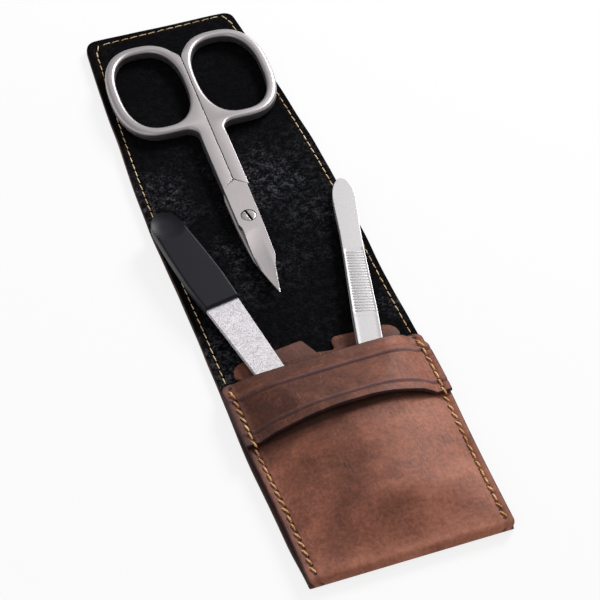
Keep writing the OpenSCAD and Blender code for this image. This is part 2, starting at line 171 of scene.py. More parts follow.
# %% Node trees from Python expressions
class Graph:
    """A node tree that is written from Python."""

    def __init__(self, tree):
        self.tree = tree
        tree.nodes.clear()

    def feed(self, socket, value):
        if isinstance(value, Wire):
            self.tree.links.new(value.socket, socket)
        else:
            socket.default_value = value

    def node(self, kind, sockets=None, stops=None, **settings):
        made = self.tree.nodes.new(kind)
        for key, value in settings.items():
            setattr(made, key, value)
        if stops:
            while len(made.color_ramp.elements) < len(stops):
                made.color_ramp.elements.new(0.5)
            for element, (place, colour) in zip(made.color_ramp.elements, stops):
                element.position = place
                element.color = (*colour, 1)
        for key, value in (sockets or {}).items():
            self.feed(made.inputs[key], value)
        return made

    def wire(self, kind, sockets=None, out=0, **settings):
        return Wire(self, self.node(kind, sockets, **settings).outputs[out])

    def math(self, operation, *values):
        sockets = dict(enumerate(values))
        return self.wire("ShaderNodeMath", sockets, operation=operation)

    def split(self, vector):
        parts = self.node("ShaderNodeSeparateXYZ", {0: vector}).outputs
        return [Wire(self, part) for part in parts]

    def join(self, x, y, z):
        return self.wire("ShaderNodeCombineXYZ", {0: x, 1: y, 2: z})


# %% [markdown]
# ## Helpers for meshes
#
# Most pieces here are sheets: leather, lining, a blade, the arm of the tweezers. A sheet is
# a grid of points for its upper side and one for its underside, closed by a wall all round.
# Modifiers finish it, and are then made part of the mesh.


# %% Meshes from grids of points
def add_object(name, data):
    """An object in the scene, for a mesh, a lamp or a camera."""
    obj = bpy.data.objects.new(name, data)
    bpy.context.scene.collection.objects.link(obj)
    return obj


def from_bmesh(name, made, mesh=None):
    mesh = mesh or bpy.data.meshes.new(name)
    made.to_mesh(mesh)
    made.free()
    return add_object(name, mesh)


def new_piece(name, points, faces):
    """A mesh object from millimetres, at the origin, with outward faces."""
    mesh = bpy.data.meshes.new(name)
    mesh.from_pydata([tuple(p) for p in np.asarray(points, float) * MM], [], faces)
    made = bmesh.new()
    made.from_mesh(mesh)
    bmesh.ops.remove_doubles(made, verts=made.verts, dist=0.002 * MM)
    bmesh.ops.recalc_face_normals(made, faces=made.faces)
    return from_bmesh(name, made, mesh)


def closed_sheet(name, x, y, top, under):
    """A sheet from a grid of places, and the heights of its upper side and its underside."""
    sides = [np.stack(np.broadcast_arrays(x, y, z), -1) for z in (top, under)]
    rows, columns = x.shape
    n = rows * columns
    starts = [j * columns + i for j in range(rows - 1) for i in range(columns - 1)]
    faces = [(k, k + 1, k + columns + 1, k + columns) for k in starts]
    faces += [(n + k + columns, n + k + columns + 1, n + k + 1, n + k) for k in starts]
    border = (
        list(range(columns))
        + [j * columns + columns - 1 for j in range(1, rows)]
        + [(rows - 1) * columns + i for i in range(columns - 2, -1, -1)]
        + [j * columns for j in range(rows - 2, 0, -1)]
    )
    faces += [(a, n + a, n + b, b) for a, b in zip(border, border[1:] + border[:1])]
    return new_piece(name, np.concatenate(sides).reshape(-1, 3), faces)


def faces_between(rings, sides, first=0):
    """Faces between rings of points that follow each other, each with as many points."""
    return [
        (k + i, k + j, k + sides + j, k + sides + i)
        for k in range(first, first + (rings - 1) * sides, sides)
        for i, j in ((i, (i + 1) % sides) for i in range(sides))
    ]


# %% Finishing a mesh
def settle(obj, sharp=35):
    """Makes the modifiers part of the mesh, and shades it smooth up to an angle."""
    bpy.context.view_layer.update()
    ready = obj.evaluated_get(bpy.context.evaluated_depsgraph_get())
    mesh = bpy.data.meshes.new_from_object(ready)
    obj.modifiers.clear()
    obj.data = mesh
    mesh.shade_smooth()
    mesh.set_sharp_from_angle(angle=math.radians(sharp))
    return obj


def bevel(obj, width, segments=3, angle=50):
    cut = obj.modifiers.new("eased edges", "BEVEL")
    cut.width, cut.segments = width * MM, segments
    cut.limit_method, cut.angle_limit = "ANGLE", math.radians(angle)
    return obj


def note(obj, **values):
    """Stores numbers on the points of a mesh, for its material to read."""
    for name, numbers in values.items():
        layer = obj.data.attributes.new(name, "FLOAT", "POINT")
        layer.data.foreach_set("value", np.asarray(numbers, np.float32))


def points_of(obj):
    """The points of a mesh in millimetres, with lengths from the bottom fold."""
    flat = np.empty(len(obj.data.vertices) * 3, np.float32)
    obj.data.vertices.foreach_get("co", flat)
    return flat.reshape(-1, 3).astype(float) / MM + (0, BACK_L / 2, 0)


def spot(x, y, z):
    """Moves a mesh to a place in millimetres, with y from the bottom fold."""
    return Matrix.Translation((x * MM, (y - BACK_L / 2) * MM, z * MM))


def turned(degrees, axis="Z"):
    return Matrix.Rotation(math.radians(degrees), 4, axis)


def dress(obj, finish):
    obj.data.materials.clear()
    obj.data.materials.append(finish)


# %% Tying a piece to its body
def hand_over(obj, bodies, nodes, fold=None):
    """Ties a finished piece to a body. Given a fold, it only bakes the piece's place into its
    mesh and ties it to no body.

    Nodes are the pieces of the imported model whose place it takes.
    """
    if fold is None:
        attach(obj, *bodies)
    else:
        y, z, reach = (fold - BACK_L / 2) * MM, LINING_Z * MM, FOLD_REACH * MM
        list(bodies)
        y - reach
        y + reach
        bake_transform(obj)
    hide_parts(*nodes)
    print(obj.name, "has", len(obj.data.polygons), "faces")


# %% [markdown]
# ## Finishes
#
# A finish is a node tree on a Principled shader. The patterns read the piece's own
# coordinates in metres, so a grain of half a millimetre stays half a millimetre. What
# changes over the surface feeds colour, roughness or a bump. What is the same everywhere is
# set on the shader's own socket.


# %% Patterns that the finishes share
class Finish(Graph):
    """The node tree of one material."""

    def __init__(self, name):
        self.material = bpy.data.materials.new(name)
        self.material.use_nodes = True
        super().__init__(self.material.node_tree)
        self.place = self.wire("ShaderNodeTexCoord", out="Object")

    def noise(self, size, detail=3.0, rough=0.5, warp=0.0, place=None):
        """Clouds whose patches are about this many millimetres across."""
        sockets = {
            "Vector": place or self.place,
            "Scale": 1 / (size * MM),
            "Detail": detail,
            "Roughness": rough,
            "Distortion": warp,
        }
        return self.wire("ShaderNodeTexNoise", sockets)

    def cells(self, size, out="Distance"):
        sockets = {"Vector": self.place, "Scale": 1 / (size * MM)}
        return self.wire("ShaderNodeTexVoronoi", sockets, out=out)

    def stretched(self, turn, across, along):
        """Coordinates that draw a pattern out along one direction."""
        sockets = {
            "Vector": self.place,
            "Rotation": (0, 0, math.radians(turn)),
            "Scale": (1 / across, 1 / along, 1 / across),
        }
        return self.wire("ShaderNodeMapping", sockets)

    def attribute(self, name):
        return self.wire("ShaderNodeAttribute", out="Fac", attribute_name=name)

    def ramp(self, value, stops):
        return self.wire("ShaderNodeValToRGB", {0: value}, stops=stops)

    def blend(self, share, first, second):
        """Mixes two colours, through the sockets that the Mix node has for colours."""
        made = self.node("ShaderNodeMix", data_type="RGBA")
        for socket, value in ((0, share), (6, first), (7, second)):
            if isinstance(value, tuple):
                value = (*value, 1)
            self.feed(made.inputs[socket], value)
        return Wire(self, made.outputs[2])

    def bump(self, *layers):
        """Layers are (height from 0 to 1, depth in millimetres), one over the other."""
        normal = None
        for height, depth in layers:
            sockets = {"Height": height, "Distance": depth * MM, "Strength": 1.0}
            if normal:
                sockets["Normal"] = normal
            normal = self.wire("ShaderNodeBump", sockets)
        return normal

    def done(self, **sockets):
        names = {
            "color": "Base Color",
            "roughness": "Roughness",
            "metallic": "Metallic",
            "normal": "Normal",
            "specular": "Specular IOR Level",
        }
        feeds = {names[key]: value for key, value in sockets.items()}
        shader = self.wire("ShaderNodeBsdfPrincipled", feeds)
        self.node("ShaderNodeOutputMaterial", {"Surface": shader})
        return self.material


# %% [markdown]
# ### Waxed leather
#
# Pull-up leather is stuffed with wax and oil. Where it is bent or rubbed the wax moves and a
# paler copper tone shows, and elsewhere it settles into dark clouds, with fine scratches
# over both. Three sizes of noise give the clouds. Three stretched noises, cut down to their
# thin crests, give the scratches. Cut edges are burnished dark, and the awl leaves a hole at
# each end of a stitch, so pieces with a row of stitches carry their distance to it.


# %% Colours of waxed leather
WAXED_TONES = [
    (0.33, (0.074, 0.025, 0.016)),
    (0.42, (0.137, 0.047, 0.029)),
    (0.50, (0.217, 0.076, 0.047)),
    (0.57, (0.322, 0.116, 0.071)),
    (0.68, (0.455, 0.185, 0.117)),
]
SCRATCH, PORE = (0.42, 0.21, 0.155), (0.05, 0.02, 0.014)
RUBBED, BURNT = (0.105, 0.062, 0.068), (0.022, 0.011, 0.011)
CREASE_LIT, CREASE_SHADE = (0.20, 0.130, 0.150), (0.030, 0.014, 0.014)
BAND_SHADOW_PAINT, AWL_HOLE_SHADE, STITCH_GROOVE_SHADE = (0.02, 0.008, 0.006), (0.012, 0.006, 0.005), (0.06, 0.024, 0.017)


# %% What a row of stitches does to leather
def stitch_holes(g):
    """1 inside the awl's holes of a row, from the numbers noted on the mesh."""
    step = g.math("FRACT", g.attribute("row_place")) - 0.5
    off = g.attribute("row_offset") - 0.16
    spread = (step * STITCH_PITCH) ** 2 + off**2
    return 1 - spread.ease(0.07, 0.24)


def sewn_leather(g, color, x, band_shadow_strength):
    """The colour round the creases, the band and the stitches, and the stitches' relief.

    The colour holds painted highlight and shade on the creased lines, a painted shadow under
    the band, and painted shade in the awl's holes and along the row.
    """
    crease = g.attribute("crease")
    # Painted highlight on the lit side of each creased line and painted shade in its groove,
    # fainter towards the left
    lit = 1 - abs(crease - 0.35).ease(0.15, 0.7)
    pressed = 1 - abs(crease + 0.22).ease(0.1, 0.5)
    plain = (x / MM).ease(-22, -2) * 0.7 + 0.3
    color = g.blend(lit * plain * 0.38, color, CREASE_LIT)
    color = g.blend(pressed * plain * 0.62, color, CREASE_SHADE)
    # Painted shadow under the band's lower edge, and painted shade further below it towards the
    # left
    along = g.attribute("row_place") * STITCH_PITCH + ROW_START - BAND_Y
    painted_shadow_under_band = along.ease(-1.2, 0.9) * (1 - along.ease(BAND_H - 2.5, BAND_H - 1))
    painted_shade_beside_band = along.ease(-7, 1) * (1 - (x / MM).ease(-2, 18)) * 0.56
    color = g.blend((painted_shadow_under_band + painted_shade_beside_band).top(1) * band_shadow_strength, color, BAND_SHADOW_PAINT)
    holes = stitch_holes(g)
    # Painted shade inside the awl's holes
    color = g.blend(holes * 0.92, color, AWL_HOLE_SHADE)
    # Painted shade along the dip that the row of stitches pulls into the leather
    groove = 1 - abs(g.attribute("row_offset")).ease(0.2, 0.9)
    color = g.blend(groove * 0.3, color, STITCH_GROOVE_SHADE)
    return color, 1 - holes * 0.7 - groove * 0.3


# %% Waxed leather
def leather(name, stitched=False, oiled=0.0, shade_at_left_end=0.0, band_shadow_strength=0.0):
    """Oiled is how far the leather has darkened.

    The other two numbers are painted shade: how much darker its left end is drawn, and how
    dark the painted shadow is under and just below the band.
    """
    g = Finish(name)
    clouds = g.noise(15, 2, 0.5, 0.6)
    patches = g.noise(5, 5, 0.6, 0.4)
    grain = g.noise(0.9, 4, 0.6)
    pores = g.cells(0.5)
    x, y, _ = g.split(g.place)
    bent = 1 - (y / MM + BACK_L / 2).ease(0, 7)
    # Painted shade: the leather is drawn darker towards its left end, away from the lamp on the
    # right
    left = 1 - (x / MM).ease(-24, 14)
    mottled = clouds * 0.3 + patches * 0.2 + grain * 0.24 + 0.13
    # Paler where the strip bends at the bottom fold, and painted light towards the right and the
    # lower right, as from the lamp on the right
    rounded = (x / MM).ease(4, 22) * (1 - (y / MM + BACK_L / 2).ease(8, 26))
    pull_up_and_painted_light = bent * 0.06 + (x / MM).ease(0, 24) * 0.04 + rounded * 0.028
    color = g.ramp(mottled + pull_up_and_painted_light - left * shade_at_left_end - oiled, WAXED_TONES)
    scratches = g.noise(1.1, 2, 0.5, 0.4, g.stretched(62, 0.3, 5))
    nicks = g.noise(1.1, 2, 0.5, 0.6, g.stretched(-28, 0.26, 4))
    rubs = g.noise(1.3, 2, 0.5, 0.6, g.stretched(8, 0.3, 6))
    marks = (scratches.ease(0.63, 0.72) + nicks.ease(0.64, 0.73) + rubs.ease(0.66, 0.74)).top(1)
    color = g.blend(marks * patches.ease(0.4, 0.66) * 0.34, color, SCRATCH)
    color = g.blend((1 - pores.ease(0, 0.5)) * 0.1, color, PORE)
    rim = g.attribute("rim")
    rubbed = 1 - (rim + patches * 0.8).ease(0.8, 1.7)
    color = g.blend(rubbed * 0.2, color, RUBBED)
    burnt = 1 - (rim + patches * 0.5).ease(0.2, 0.55)
    color = g.blend(burnt * 0.88, color, BURNT)
    height = clouds * 0.3 + patches * 0.5 - marks * 0.22
    layers = [(height, 0.2), (grain * 0.7 + pores * 0.3, 0.04)]
    if stitched:
        color, relief = sewn_leather(g, color, x, band_shadow_strength)
        layers.append((relief, 0.32))
    return g.done(
        color=color,
        roughness=0.5 + patches * 0.2 + burnt * 0.25,
        specular=0.22,
        normal=g.bump(*layers),
    )


# %% [markdown]
# ### Suede lining
#
# Suede is leather with its fibres raised. Stroked one way it looks black and the other way
# grey, so it is always patchy. Clumps of two sizes decide how dark the nap is, and a bump
# lifts them. Round the finger rings and below the scissors' tip the nap is drawn darker as
# painted shade, and beside the shank it has been stroked up. Along the pocket the suede is
# sewn in, and its cut edge is burnished brown together with the leather's.


# %% Suede
SUEDE_TONES = [
    (0.05, (0.0020, 0.0020, 0.0025)),
    (0.3, (0.0060, 0.0062, 0.0074)),
    (0.6, (0.0190, 0.0195, 0.0225)),
    (0.95, (0.062, 0.063, 0.070)),
]


def suede():
    g = Finish("suede_lining")
    x, y, _ = g.split(g.place)
    # Painted shade round and beyond the finger rings and below the scissors' tip
    painted_shade_round_rings = (y / MM).ease(70, 92)
    stroked = 1 - (((x / MM - 14) / 15) ** 2 + ((y / MM - 62) / 24) ** 2).ease(0.2, 1.0)
    painted_shade_below_tip = 1 - (((x / MM - 5) / 17) ** 2 + ((y / MM - 19) / 19) ** 2).ease(0.3, 1.2)
    ruffled = g.noise(24, 3, 0.5, 0.3).ease(0.40, 0.60)
    ruffled = ruffled * (1 - painted_shade_round_rings * 0.65) * (1 - painted_shade_below_tip * 0.8)
    ruffled = (ruffled + stroked * 0.55).top(1)
    tufts = g.noise(1.9, 5, 0.7, 0.35)
    flecks = g.noise(0.65, 3, 0.7, 0.3)
    fibres = g.noise(0.22, 2, 0.7)
    nap = (tufts * 0.52 + flecks * 0.48).ease(0.42, 0.62)
    grey = nap * (ruffled * 0.72 + 0.28) * (0.88 - painted_shade_round_rings * 0.38) + fibres * 0.12
    color = g.ramp(grey, SUEDE_TONES)
    holes = stitch_holes(g)
    groove = 1 - abs(g.attribute("row_offset")).ease(0.2, 1.0)
    color = g.blend(groove * flecks.ease(0.4, 0.6) * 0.7, color, (0.018, 0.008, 0.006))
    # Painted shade inside the awl's holes
    color = g.blend(holes * 0.9, color, (0.002, 0.0015, 0.0015))
    sewn_in = (1 - g.attribute("rim").ease(0.1, 0.5)) * (1 - (y / MM).ease(2, 8))
    color = g.blend(sewn_in * 0.9, color, (0.066, 0.036, 0.038))
    return g.done(
        color=color,
        roughness=0.95,
        specular=0.03,
        normal=g.bump((tufts, 0.5), (flecks, 0.22), (1 - holes - groove * 0.4, 0.25)),
    )


# %% [markdown]
# ### Thread, steel, plastic and grit
#
# The waxed thread is two strands twisted together. The twist is in the mesh of a stitch, so
# the finish adds only fuzz and wear. The scissors are satin finished: a metal with a soft
# roughness and a very fine brushed bump. The file's handle is matt moulded plastic, and its
# blade is coated with grit whose grains catch the light one by one.


# %% Thread
def waxed_thread(name, pale):
    """Pale runs from 0, golden, to 1, cream."""
    g = Finish(name)
    fuzz = g.noise(0.45, 3)
    wear = g.noise(5, 2)
    golden = [(0.35, 0.14, 0.042), (0.64, 0.32, 0.112), (0.88, 0.58, 0.28)]
    cream = [(0.42, 0.27, 0.13), (0.78, 0.62, 0.37), (0.96, 0.88, 0.70)]
    mixed = [tuple(a + (b - a) * pale for a, b in zip(*pair)) for pair in zip(golden, cream)]
    color = g.ramp(fuzz * 0.5 + wear * 0.5, list(zip((0.38, 0.5, 0.62), mixed)))
    return g.done(color=color, roughness=0.55, specular=0.4, normal=g.bump((fuzz, 0.06)))


# %% Steel
def satin_steel(name, color, rough, turn=0.0, slot_shade=None):
    """The last argument is painted shade for a screw's slot, as a pair of heights in millimetres:
    dark below the first, none above the second.
    """
    g = Finish(name)
    brushed = g.noise(0.35, 3, 0.6, 0.0, g.stretched(turn, 0.5, 8))
    smudges = g.noise(7, 3, 0.5, 0.4)
    frost = g.noise(0.25, 2, 0.6)
    shade = g.blend(smudges * 0.35, color, tuple(c * 0.86 for c in color))
    if slot_shade:
        # Painted shade in the screw's slot and round its head
        height = g.split(g.place)[2] / MM
        shade = g.blend(1 - height.ease(*slot_shade), shade, (0.012, 0.011, 0.011))
    return g.done(
        color=shade,
        metallic=1.0,
        roughness=rough + brushed * 0.08 + smudges * 0.05,
        normal=g.bump((brushed * 0.6 + frost * 0.4, 0.006)),
    )


# %% Plastic and grit
def moulded_plastic():
    g = Finish("file_plastic")
    orange_peel = g.noise(0.35, 2, 0.5)
    haze = g.noise(9, 2)
    color = g.blend(haze, (0.0042, 0.0042, 0.0078), (0.0074, 0.0073, 0.0130))
    return g.done(
        color=color,
        roughness=0.4 + orange_peel * 0.12,
        specular=0.21,
        normal=g.bump((orange_peel, 0.012)),
    )


def grit():
    g = Finish("file_grit")
    grains = g.cells(0.32)
    drawn = g.wire("ShaderNodeSeparateColor", {0: g.cells(0.32, "Color")}, out=0)
    wear = g.noise(5, 3)
    color = g.ramp(
        drawn * 0.86 + wear * 0.14,
        [(0.15, (0.50, 0.475, 0.505)), (0.5, (0.64, 0.61, 0.64)), (0.85, (0.80, 0.77, 0.80))],
    )
    return g.done(
        color=color,
        metallic=0.2,
        roughness=0.4 + drawn * 0.3,
        normal=g.bump((1 - grains, 0.06)),
    )


# %% All of the finishes
# Steel is brushed along its tool, so the angles at which two of the tools lie come first
SCISSORS_TURN, TWEEZERS_TURN = -2, -13.2
leather_finish = leather("outer_leather")
# The pocket's front carries a painted shadow under the band
pocket_leather_finish = leather("pocket_front_leather", stitched=True, band_shadow_strength=0.85)
band_finish = leather("band_leather", stitched=True, oiled=0.06, shade_at_left_end=0.05)
insert_finish = leather("insert_leather", oiled=0.14)
suede_finish = suede()
golden_thread = waxed_thread("pocket_thread", 0.0)
cream_thread = waxed_thread("border_thread", 0.85)
scissors_finish = satin_steel("scissors_steel", (0.488, 0.453, 0.461), 0.35, SCISSORS_TURN)
screw_finish = satin_steel("screw_steel", (0.44, 0.407, 0.414), 0.3, 40, slot_shade=(5.1, 5.34))
tweezers_finish = satin_steel("tweezers_steel", (0.46, 0.449, 0.455), 0.42, TWEEZERS_TURN)
plastic_finish = moulded_plastic()
grit_finish = grit()
print("finishes:", len(bpy.data.materials))

# %% [markdown]
# ## The strip of leather and its lining
#
# On the real case this is one strip with two soft folds. A piece can bend across one joint
# only, so the strip is two pieces that meet in the middle of the narrow part between the
# folds, where neither of them bends. Both follow the same outline, and the rows of the grid
# lie closer together near the folds.


# %% Rows of the grid, and the knife's wander
WANDER = 0.22


def stations(start, end):
    """Lengths along the case, close together near the folds and round the corners."""
    wanted = [start]
    while wanted[-1] < end - 1e-6:
        y = wanted[-1]
        near_fold = min(abs(y - SPINE_FOLD), abs(y - FLAP_FOLD)) < 4
        wanted.append(min(end, y + (0.4 if near_fold else 1.2)))
    if end == CASE_L:
        turns = np.radians(np.linspace(0, 90, 9))
        wanted = [y for y in wanted if y < CASE_L - CORNER_R - 0.3]
        wanted += list(CASE_L - CORNER_R + CORNER_R * np.sin(turns))
    return np.array(wanted)


def waver(y, side):
    """The knife's small wander along the cut."""
    seed = np.array([noise.noise(Vector((float(v) / 11, side * 7.3, 0.4))) for v in y])
    return WANDER * seed * ease(y, POCKET_H, POCKET_H + 12)


# %% One layer of the strip
PROUD_POCKET, PROUD_FLAP = 0.6, 0.5
ASKEW, CUT_BACK, RAGGED = 0.9, 0.2, 0.3


def strip(name, start, end, low, high, inset):
    """One layer of the strip.

    Its left edge stands out past the pocket's front, and its far end is cut a little askew.
    """
    ys = stations(start, end)
    shares = np.sin(np.linspace(-90, 90, 45) * math.pi / 180)
    proud = PROUD_POCKET * ease(ys, 1, 14) * (1 - ease(ys, 34, 56))
    proud = proud + PROUD_FLAP * ease(ys, 145, 176)
    left = -(half_width(ys) - inset + proud) + waver(ys, -1)
    right = half_width(ys) - inset + waver(ys, 1)
    x = left[:, None] + (right - left)[:, None] * (shares + 1) / 2
    y = np.repeat(ys[:, None], len(shares), 1)
    if end == CASE_L:
        ragged = [RAGGED * noise.noise(Vector((float(v) / 9, 2.2, 0))) for v in x[-1]]
        askew = -ASKEW * x[-1] / HALF_W - CUT_BACK
        y = y + (np.array(ragged) + askew) * ease(y, CASE_L - 12, CASE_L)
        y = y - inset * ease(y, CASE_L - 2, CASE_L)
    obj = closed_sheet(name, x, y - BACK_L / 2, high, low)
    settle(bevel(obj, 0.22), 60)
    note_edges(obj)
    return obj


def note_edges(obj):
    """Notes how far each point is from the cut edge and from the row of stitches."""
    x, y, _ = points_of(obj).T
    side, end = half_width(np.minimum(y, CASE_L)) - np.abs(x), CASE_L - y
    along, off = (y - ROW_START) / STITCH_PITCH, side - STITCH_IN
    across = np.abs(end - STITCH_IN) < np.abs(off)
    along = np.where(across, x / STITCH_PITCH + 0.5, along)
    off = np.where(across, end - STITCH_IN, off)
    note(obj, rim=np.maximum(0, np.minimum(side, end)), row_place=along, row_offset=off)


# %% Leather and suede, in two pieces each
def fold_pair(kind, low, high, inset, finish, nodes):
    """The two pieces of one layer, each of which spans one fold."""
    for part, start, end, bodies, fold, held in (
        ("back", FOLD_R, MID_SPINE, ("case", "spine"), SPINE_FOLD, nodes[:2]),
        ("flap", MID_SPINE, CASE_L, ("spine", "flap"), FLAP_FOLD, nodes[1:]),
    ):
        obj = strip(kind + "_" + part, start, end, low, high, inset)
        dress(obj, finish)
        hand_over(obj, bodies, held, fold)


panels = ("back_panel", "spine_panel", "flap_panel")
linings = ("back_lining", "spine_lining", "flap_lining")
fold_pair("leather", 0, LEATHER_T, 0, leather_finish, panels)
fold_pair("suede", LEATHER_T, LINING_Z, 0.12, suede_finish, linings)

# %% [markdown]
# ## The domed pocket and its band
#
# The pocket's front has taken the shape of the tools in it: flat where it is sewn, a slope
# beside each tool, a shallow dome between, and the half-round fold at the bottom. That is a
# rule, so Geometry Nodes make it. A flat grid is bent by a formula, and the same rule with
# other numbers makes the band that arches over the pocket. Its named inputs are the sizes a
# maker would ask for.


# %% Inputs of a Geometry Nodes tree
def geometry_tree(name, sizes):
    """A new tree with an input for each size, and those inputs as wires."""
    tree = bpy.data.node_groups.new(name, "GeometryNodeTree")
    add = tree.interface.new_socket
    add(name="Geometry", in_out="OUTPUT", socket_type="NodeSocketGeometry")
    add(name="Geometry", in_out="INPUT", socket_type="NodeSocketGeometry")
    g = Graph(tree)
    for key, value in sizes.items():
        kind = "NodeSocketInt" if isinstance(value, int) else "NodeSocketFloat"
        add(name=key, in_out="INPUT", socket_type=kind).default_value = value
    entry = g.node("NodeGroupInput")
    wires = {key: Wire(g, entry.outputs[key]) for key in ["Geometry", *sizes]}
    return g, wires


def finish_tree(g, shape, finish):
    shape = g.wire("GeometryNodeRealizeInstances", {"Geometry": shape})
    shape = g.wire("GeometryNodeSetMaterial", {"Geometry": shape, "Material": finish})
    g.node("NodeGroupOutput", {"Geometry": shape})
    return g.tree


def grow(name, tree, start=None, **sizes):
    """An object that carries the tree, with its sizes set by each socket's identifier."""
    obj = add_object(name, start or bpy.data.meshes.new(name))
    modifier = obj.modifiers.new("rule", "NODES")
    modifier.node_group = tree
    names = {
        item.name.replace(" ", "_"): item.identifier
        for item in tree.interface.items_tree
        if item.in_out == "INPUT"
    }
    for key, value in sizes.items():
        modifier[names[key]] = value
    return obj


# %% The rise over the tools
BULGE_LEFT, BULGE_RIGHT, SLOPE_START = 2.98, 4.65, 21.8


def rise_over_tools(g, x, y):
    """The dome's height, and how far the slopes at its left and right have come up.

    The side slopes are steep at the mouth and widen into one arch further down.
    """
    from_left, from_right = x + SLOPE_START, SLOPE_START - x
    below = POCKET_H - y
    left = (from_left / (below**2 / 28 + 7.1).top(SLOPE_START)).bow()
    right = (from_right / (below**2 / 36 + 7.5).top(SLOPE_START)).bow()
    u = (from_left / (2 * SLOPE_START)).floor(0).top(1)
    crown = 1.6 - 1.12 * ((y - BAND_Y) / (POCKET_H - BAND_Y)).ease()
    dome = BULGE_LEFT + u * (BULGE_RIGHT - BULGE_LEFT) + g.math("SINE", u * math.pi) * crown
    return dome * left * right * ((y - FOLD_R) / 15).ease(), left, right


# %% The two creased lines along the band
def creased_lines(g, size, y):
    """The distance to the nearer line, or far off where there is none, and the line's depth."""
    inset = size["Crease inset"]
    low, high = y - size["From"] - inset, y - size["To"] + inset
    nearer_low = g.math("LESS_THAN", abs(low), abs(high))
    has_crease = inset.ease(0, 0.1)
    off = low * nearer_low + high * (1 - nearer_low) + (1 - has_crease) * 9
    groove = (1 - abs(off + 0.15) / 0.6).floor(0)
    lip = (1 - abs(off - 0.6) / 0.5).floor(0)
    return off, (groove * 0.3 - lip * 0.1) * has_crease


# %% Sizes, profile and width of leather over the tools
DOMED_SIZES = {
    "Columns": 110,
    "Rows": 150,
    "From": FOLD_R,
    "To": POCKET_H,
    "Fold": 1.0,
    "Base": FLANGE_Z,
    "Layer gap": 0.0,
    "Lift": 0.0,
    "Crease inset": 0.0,
    "Thin edge": 0.0,
    "Proud ends": 0.0,
    "Mouth corner": 1.8,
}


def way_up(g, size, along):
    """The profile: half round the fold first, then straight up the front."""
    turn_l = math.pi * FOLD_R * size["Fold"]
    way = (along + 0.5) * (turn_l + size["To"] - size["From"])
    turn = (way / turn_l.floor(0.001)).top(1) * math.pi * size["Fold"]
    straight = (way - turn_l).floor(0)
    y = size["From"] + straight - FOLD_R * g.math("SINE", turn)
    sunk = FOLD_R * (1 + g.math("COSINE", turn)) * size["Fold"]
    return y, sunk, straight


def half_width_there(g, size, y, t):
    """With a rounded corner at the fold and one at the mouth."""
    swell = g.math("EXPONENT", ((y - SWELL_Y) / SWELL_REACH) ** 2 * -1) * SWELL
    near = (FOLD_CORNER_R - y).floor(0)
    corner = FOLD_CORNER_R - g.math("SQRT", (FOLD_CORNER_R**2 - near**2).floor(0))
    cut_off = size["Mouth corner"]
    far = (y - size["To"] + cut_off).floor(0)
    corner = corner + cut_off - g.math("SQRT", (cut_off**2 - far**2).floor(0))
    return HALF_W + swell - corner + size["Proud ends"] * t


# %% The tree for the pocket's front and the band
SAG, PULL, PULL_REACH = 0.8, 0.16, 0.7


def domed_tree(finish):
    g, size = geometry_tree("leather over the tools", DOMED_SIZES)
    sockets = {"Size X": 2.0, "Size Y": 1.0}
    sockets.update({"Vertices X": size["Columns"], "Vertices Y": size["Rows"]})
    shape = g.wire("GeometryNodeMeshGrid", sockets)
    across, along, _ = g.split(g.wire("GeometryNodeInputPosition"))
    y, sunk, straight = way_up(g, size, along)
    t = (size["To"] - y) / (size["To"] - size["From"])
    wide = half_width_there(g, size, y, t)
    x = across * wide
    # The mouth sags, and a band stands off at its lower edge
    rise, left, right = rise_over_tools(g, x, y)
    sag = left * right * (y / POCKET_H).floor(0) ** 6 * SAG
    pulled = t**2 * left * right * (1 - size["Fold"])
    drawn = y - rise * y * (0.3 / POCKET_H) - sag + pulled
    gap = (size["Layer gap"] + size["Lift"] * t**2) * (left * 3).top(1) * (right * 3).top(1)
    crease_off, crease = creased_lines(g, size, y)
    skived = size["Thin edge"] * (1 - (size["To"] - y).ease(0, 2.2))
    # The row of stitches pulls the leather down a little
    side = wide - abs(x)
    off = side - STITCH_IN - size["Proud ends"] * t
    pull = g.math("EXPONENT", (off / PULL_REACH) ** 2 * -1) * PULL
    z = size["Base"] - sunk + rise + gap - crease - skived - pull * straight.ease(0, 2)
    # All of these are worked out from the flat grid, so they are noted before it is bent
    end = (size["To"] - y) * size["Fold"] + (y - size["From"]) * (1 - size["Fold"])
    for name, value in (
        ("rim", side.top(end)),
        ("row_place", (y - ROW_START) / STITCH_PITCH),
        ("row_offset", off),
        ("crease", crease_off),
    ):
        sockets = {"Geometry": shape, "Name": name, "Value": value}
        shape = g.wire("GeometryNodeStoreNamedAttribute", sockets, data_type="FLOAT")
    place = g.join(x * MM, (drawn - BACK_L / 2) * MM, z * MM)
    shape = g.wire("GeometryNodeSetPosition", {"Geometry": shape, "Position": place})
    return finish_tree(g, shape, finish)


# %% The pocket's front and the band
BAND_T, BAND_SEEN_T, BAND_CREASE = 1.2, 0.85, 3.0


def domed(name, tree, thickness, **sizes):
    obj = grow(name, tree, **sizes)
    wall = obj.modifiers.new("thickness", "SOLIDIFY")
    wall.thickness, wall.offset, wall.use_even_offset = thickness * MM, -1, False
    bevel(obj, 0.2, 2, 60)
    return settle(obj, 50)


pocket = domed("pocket_leather", domed_tree(pocket_leather_finish), FRONT_T)
hand_over(pocket, ("case",), ("pocket_front",))
band = domed(
    "band_leather",
    domed_tree(band_finish),
    BAND_SEEN_T,
    Rows=90,
    From=BAND_Y,
    To=BAND_Y + BAND_H,
    Fold=0.0,
    Base=FLANGE_Z + BAND_T,
    Layer_gap=0.06,
    Lift=1.0,
    Crease_inset=BAND_CREASE,
    Thin_edge=BAND_SEEN_T + 0.02,
    Proud_ends=0.25,
    Mouth_corner=0.6,
)
hand_over(band, ("case",), ("retaining_band",))

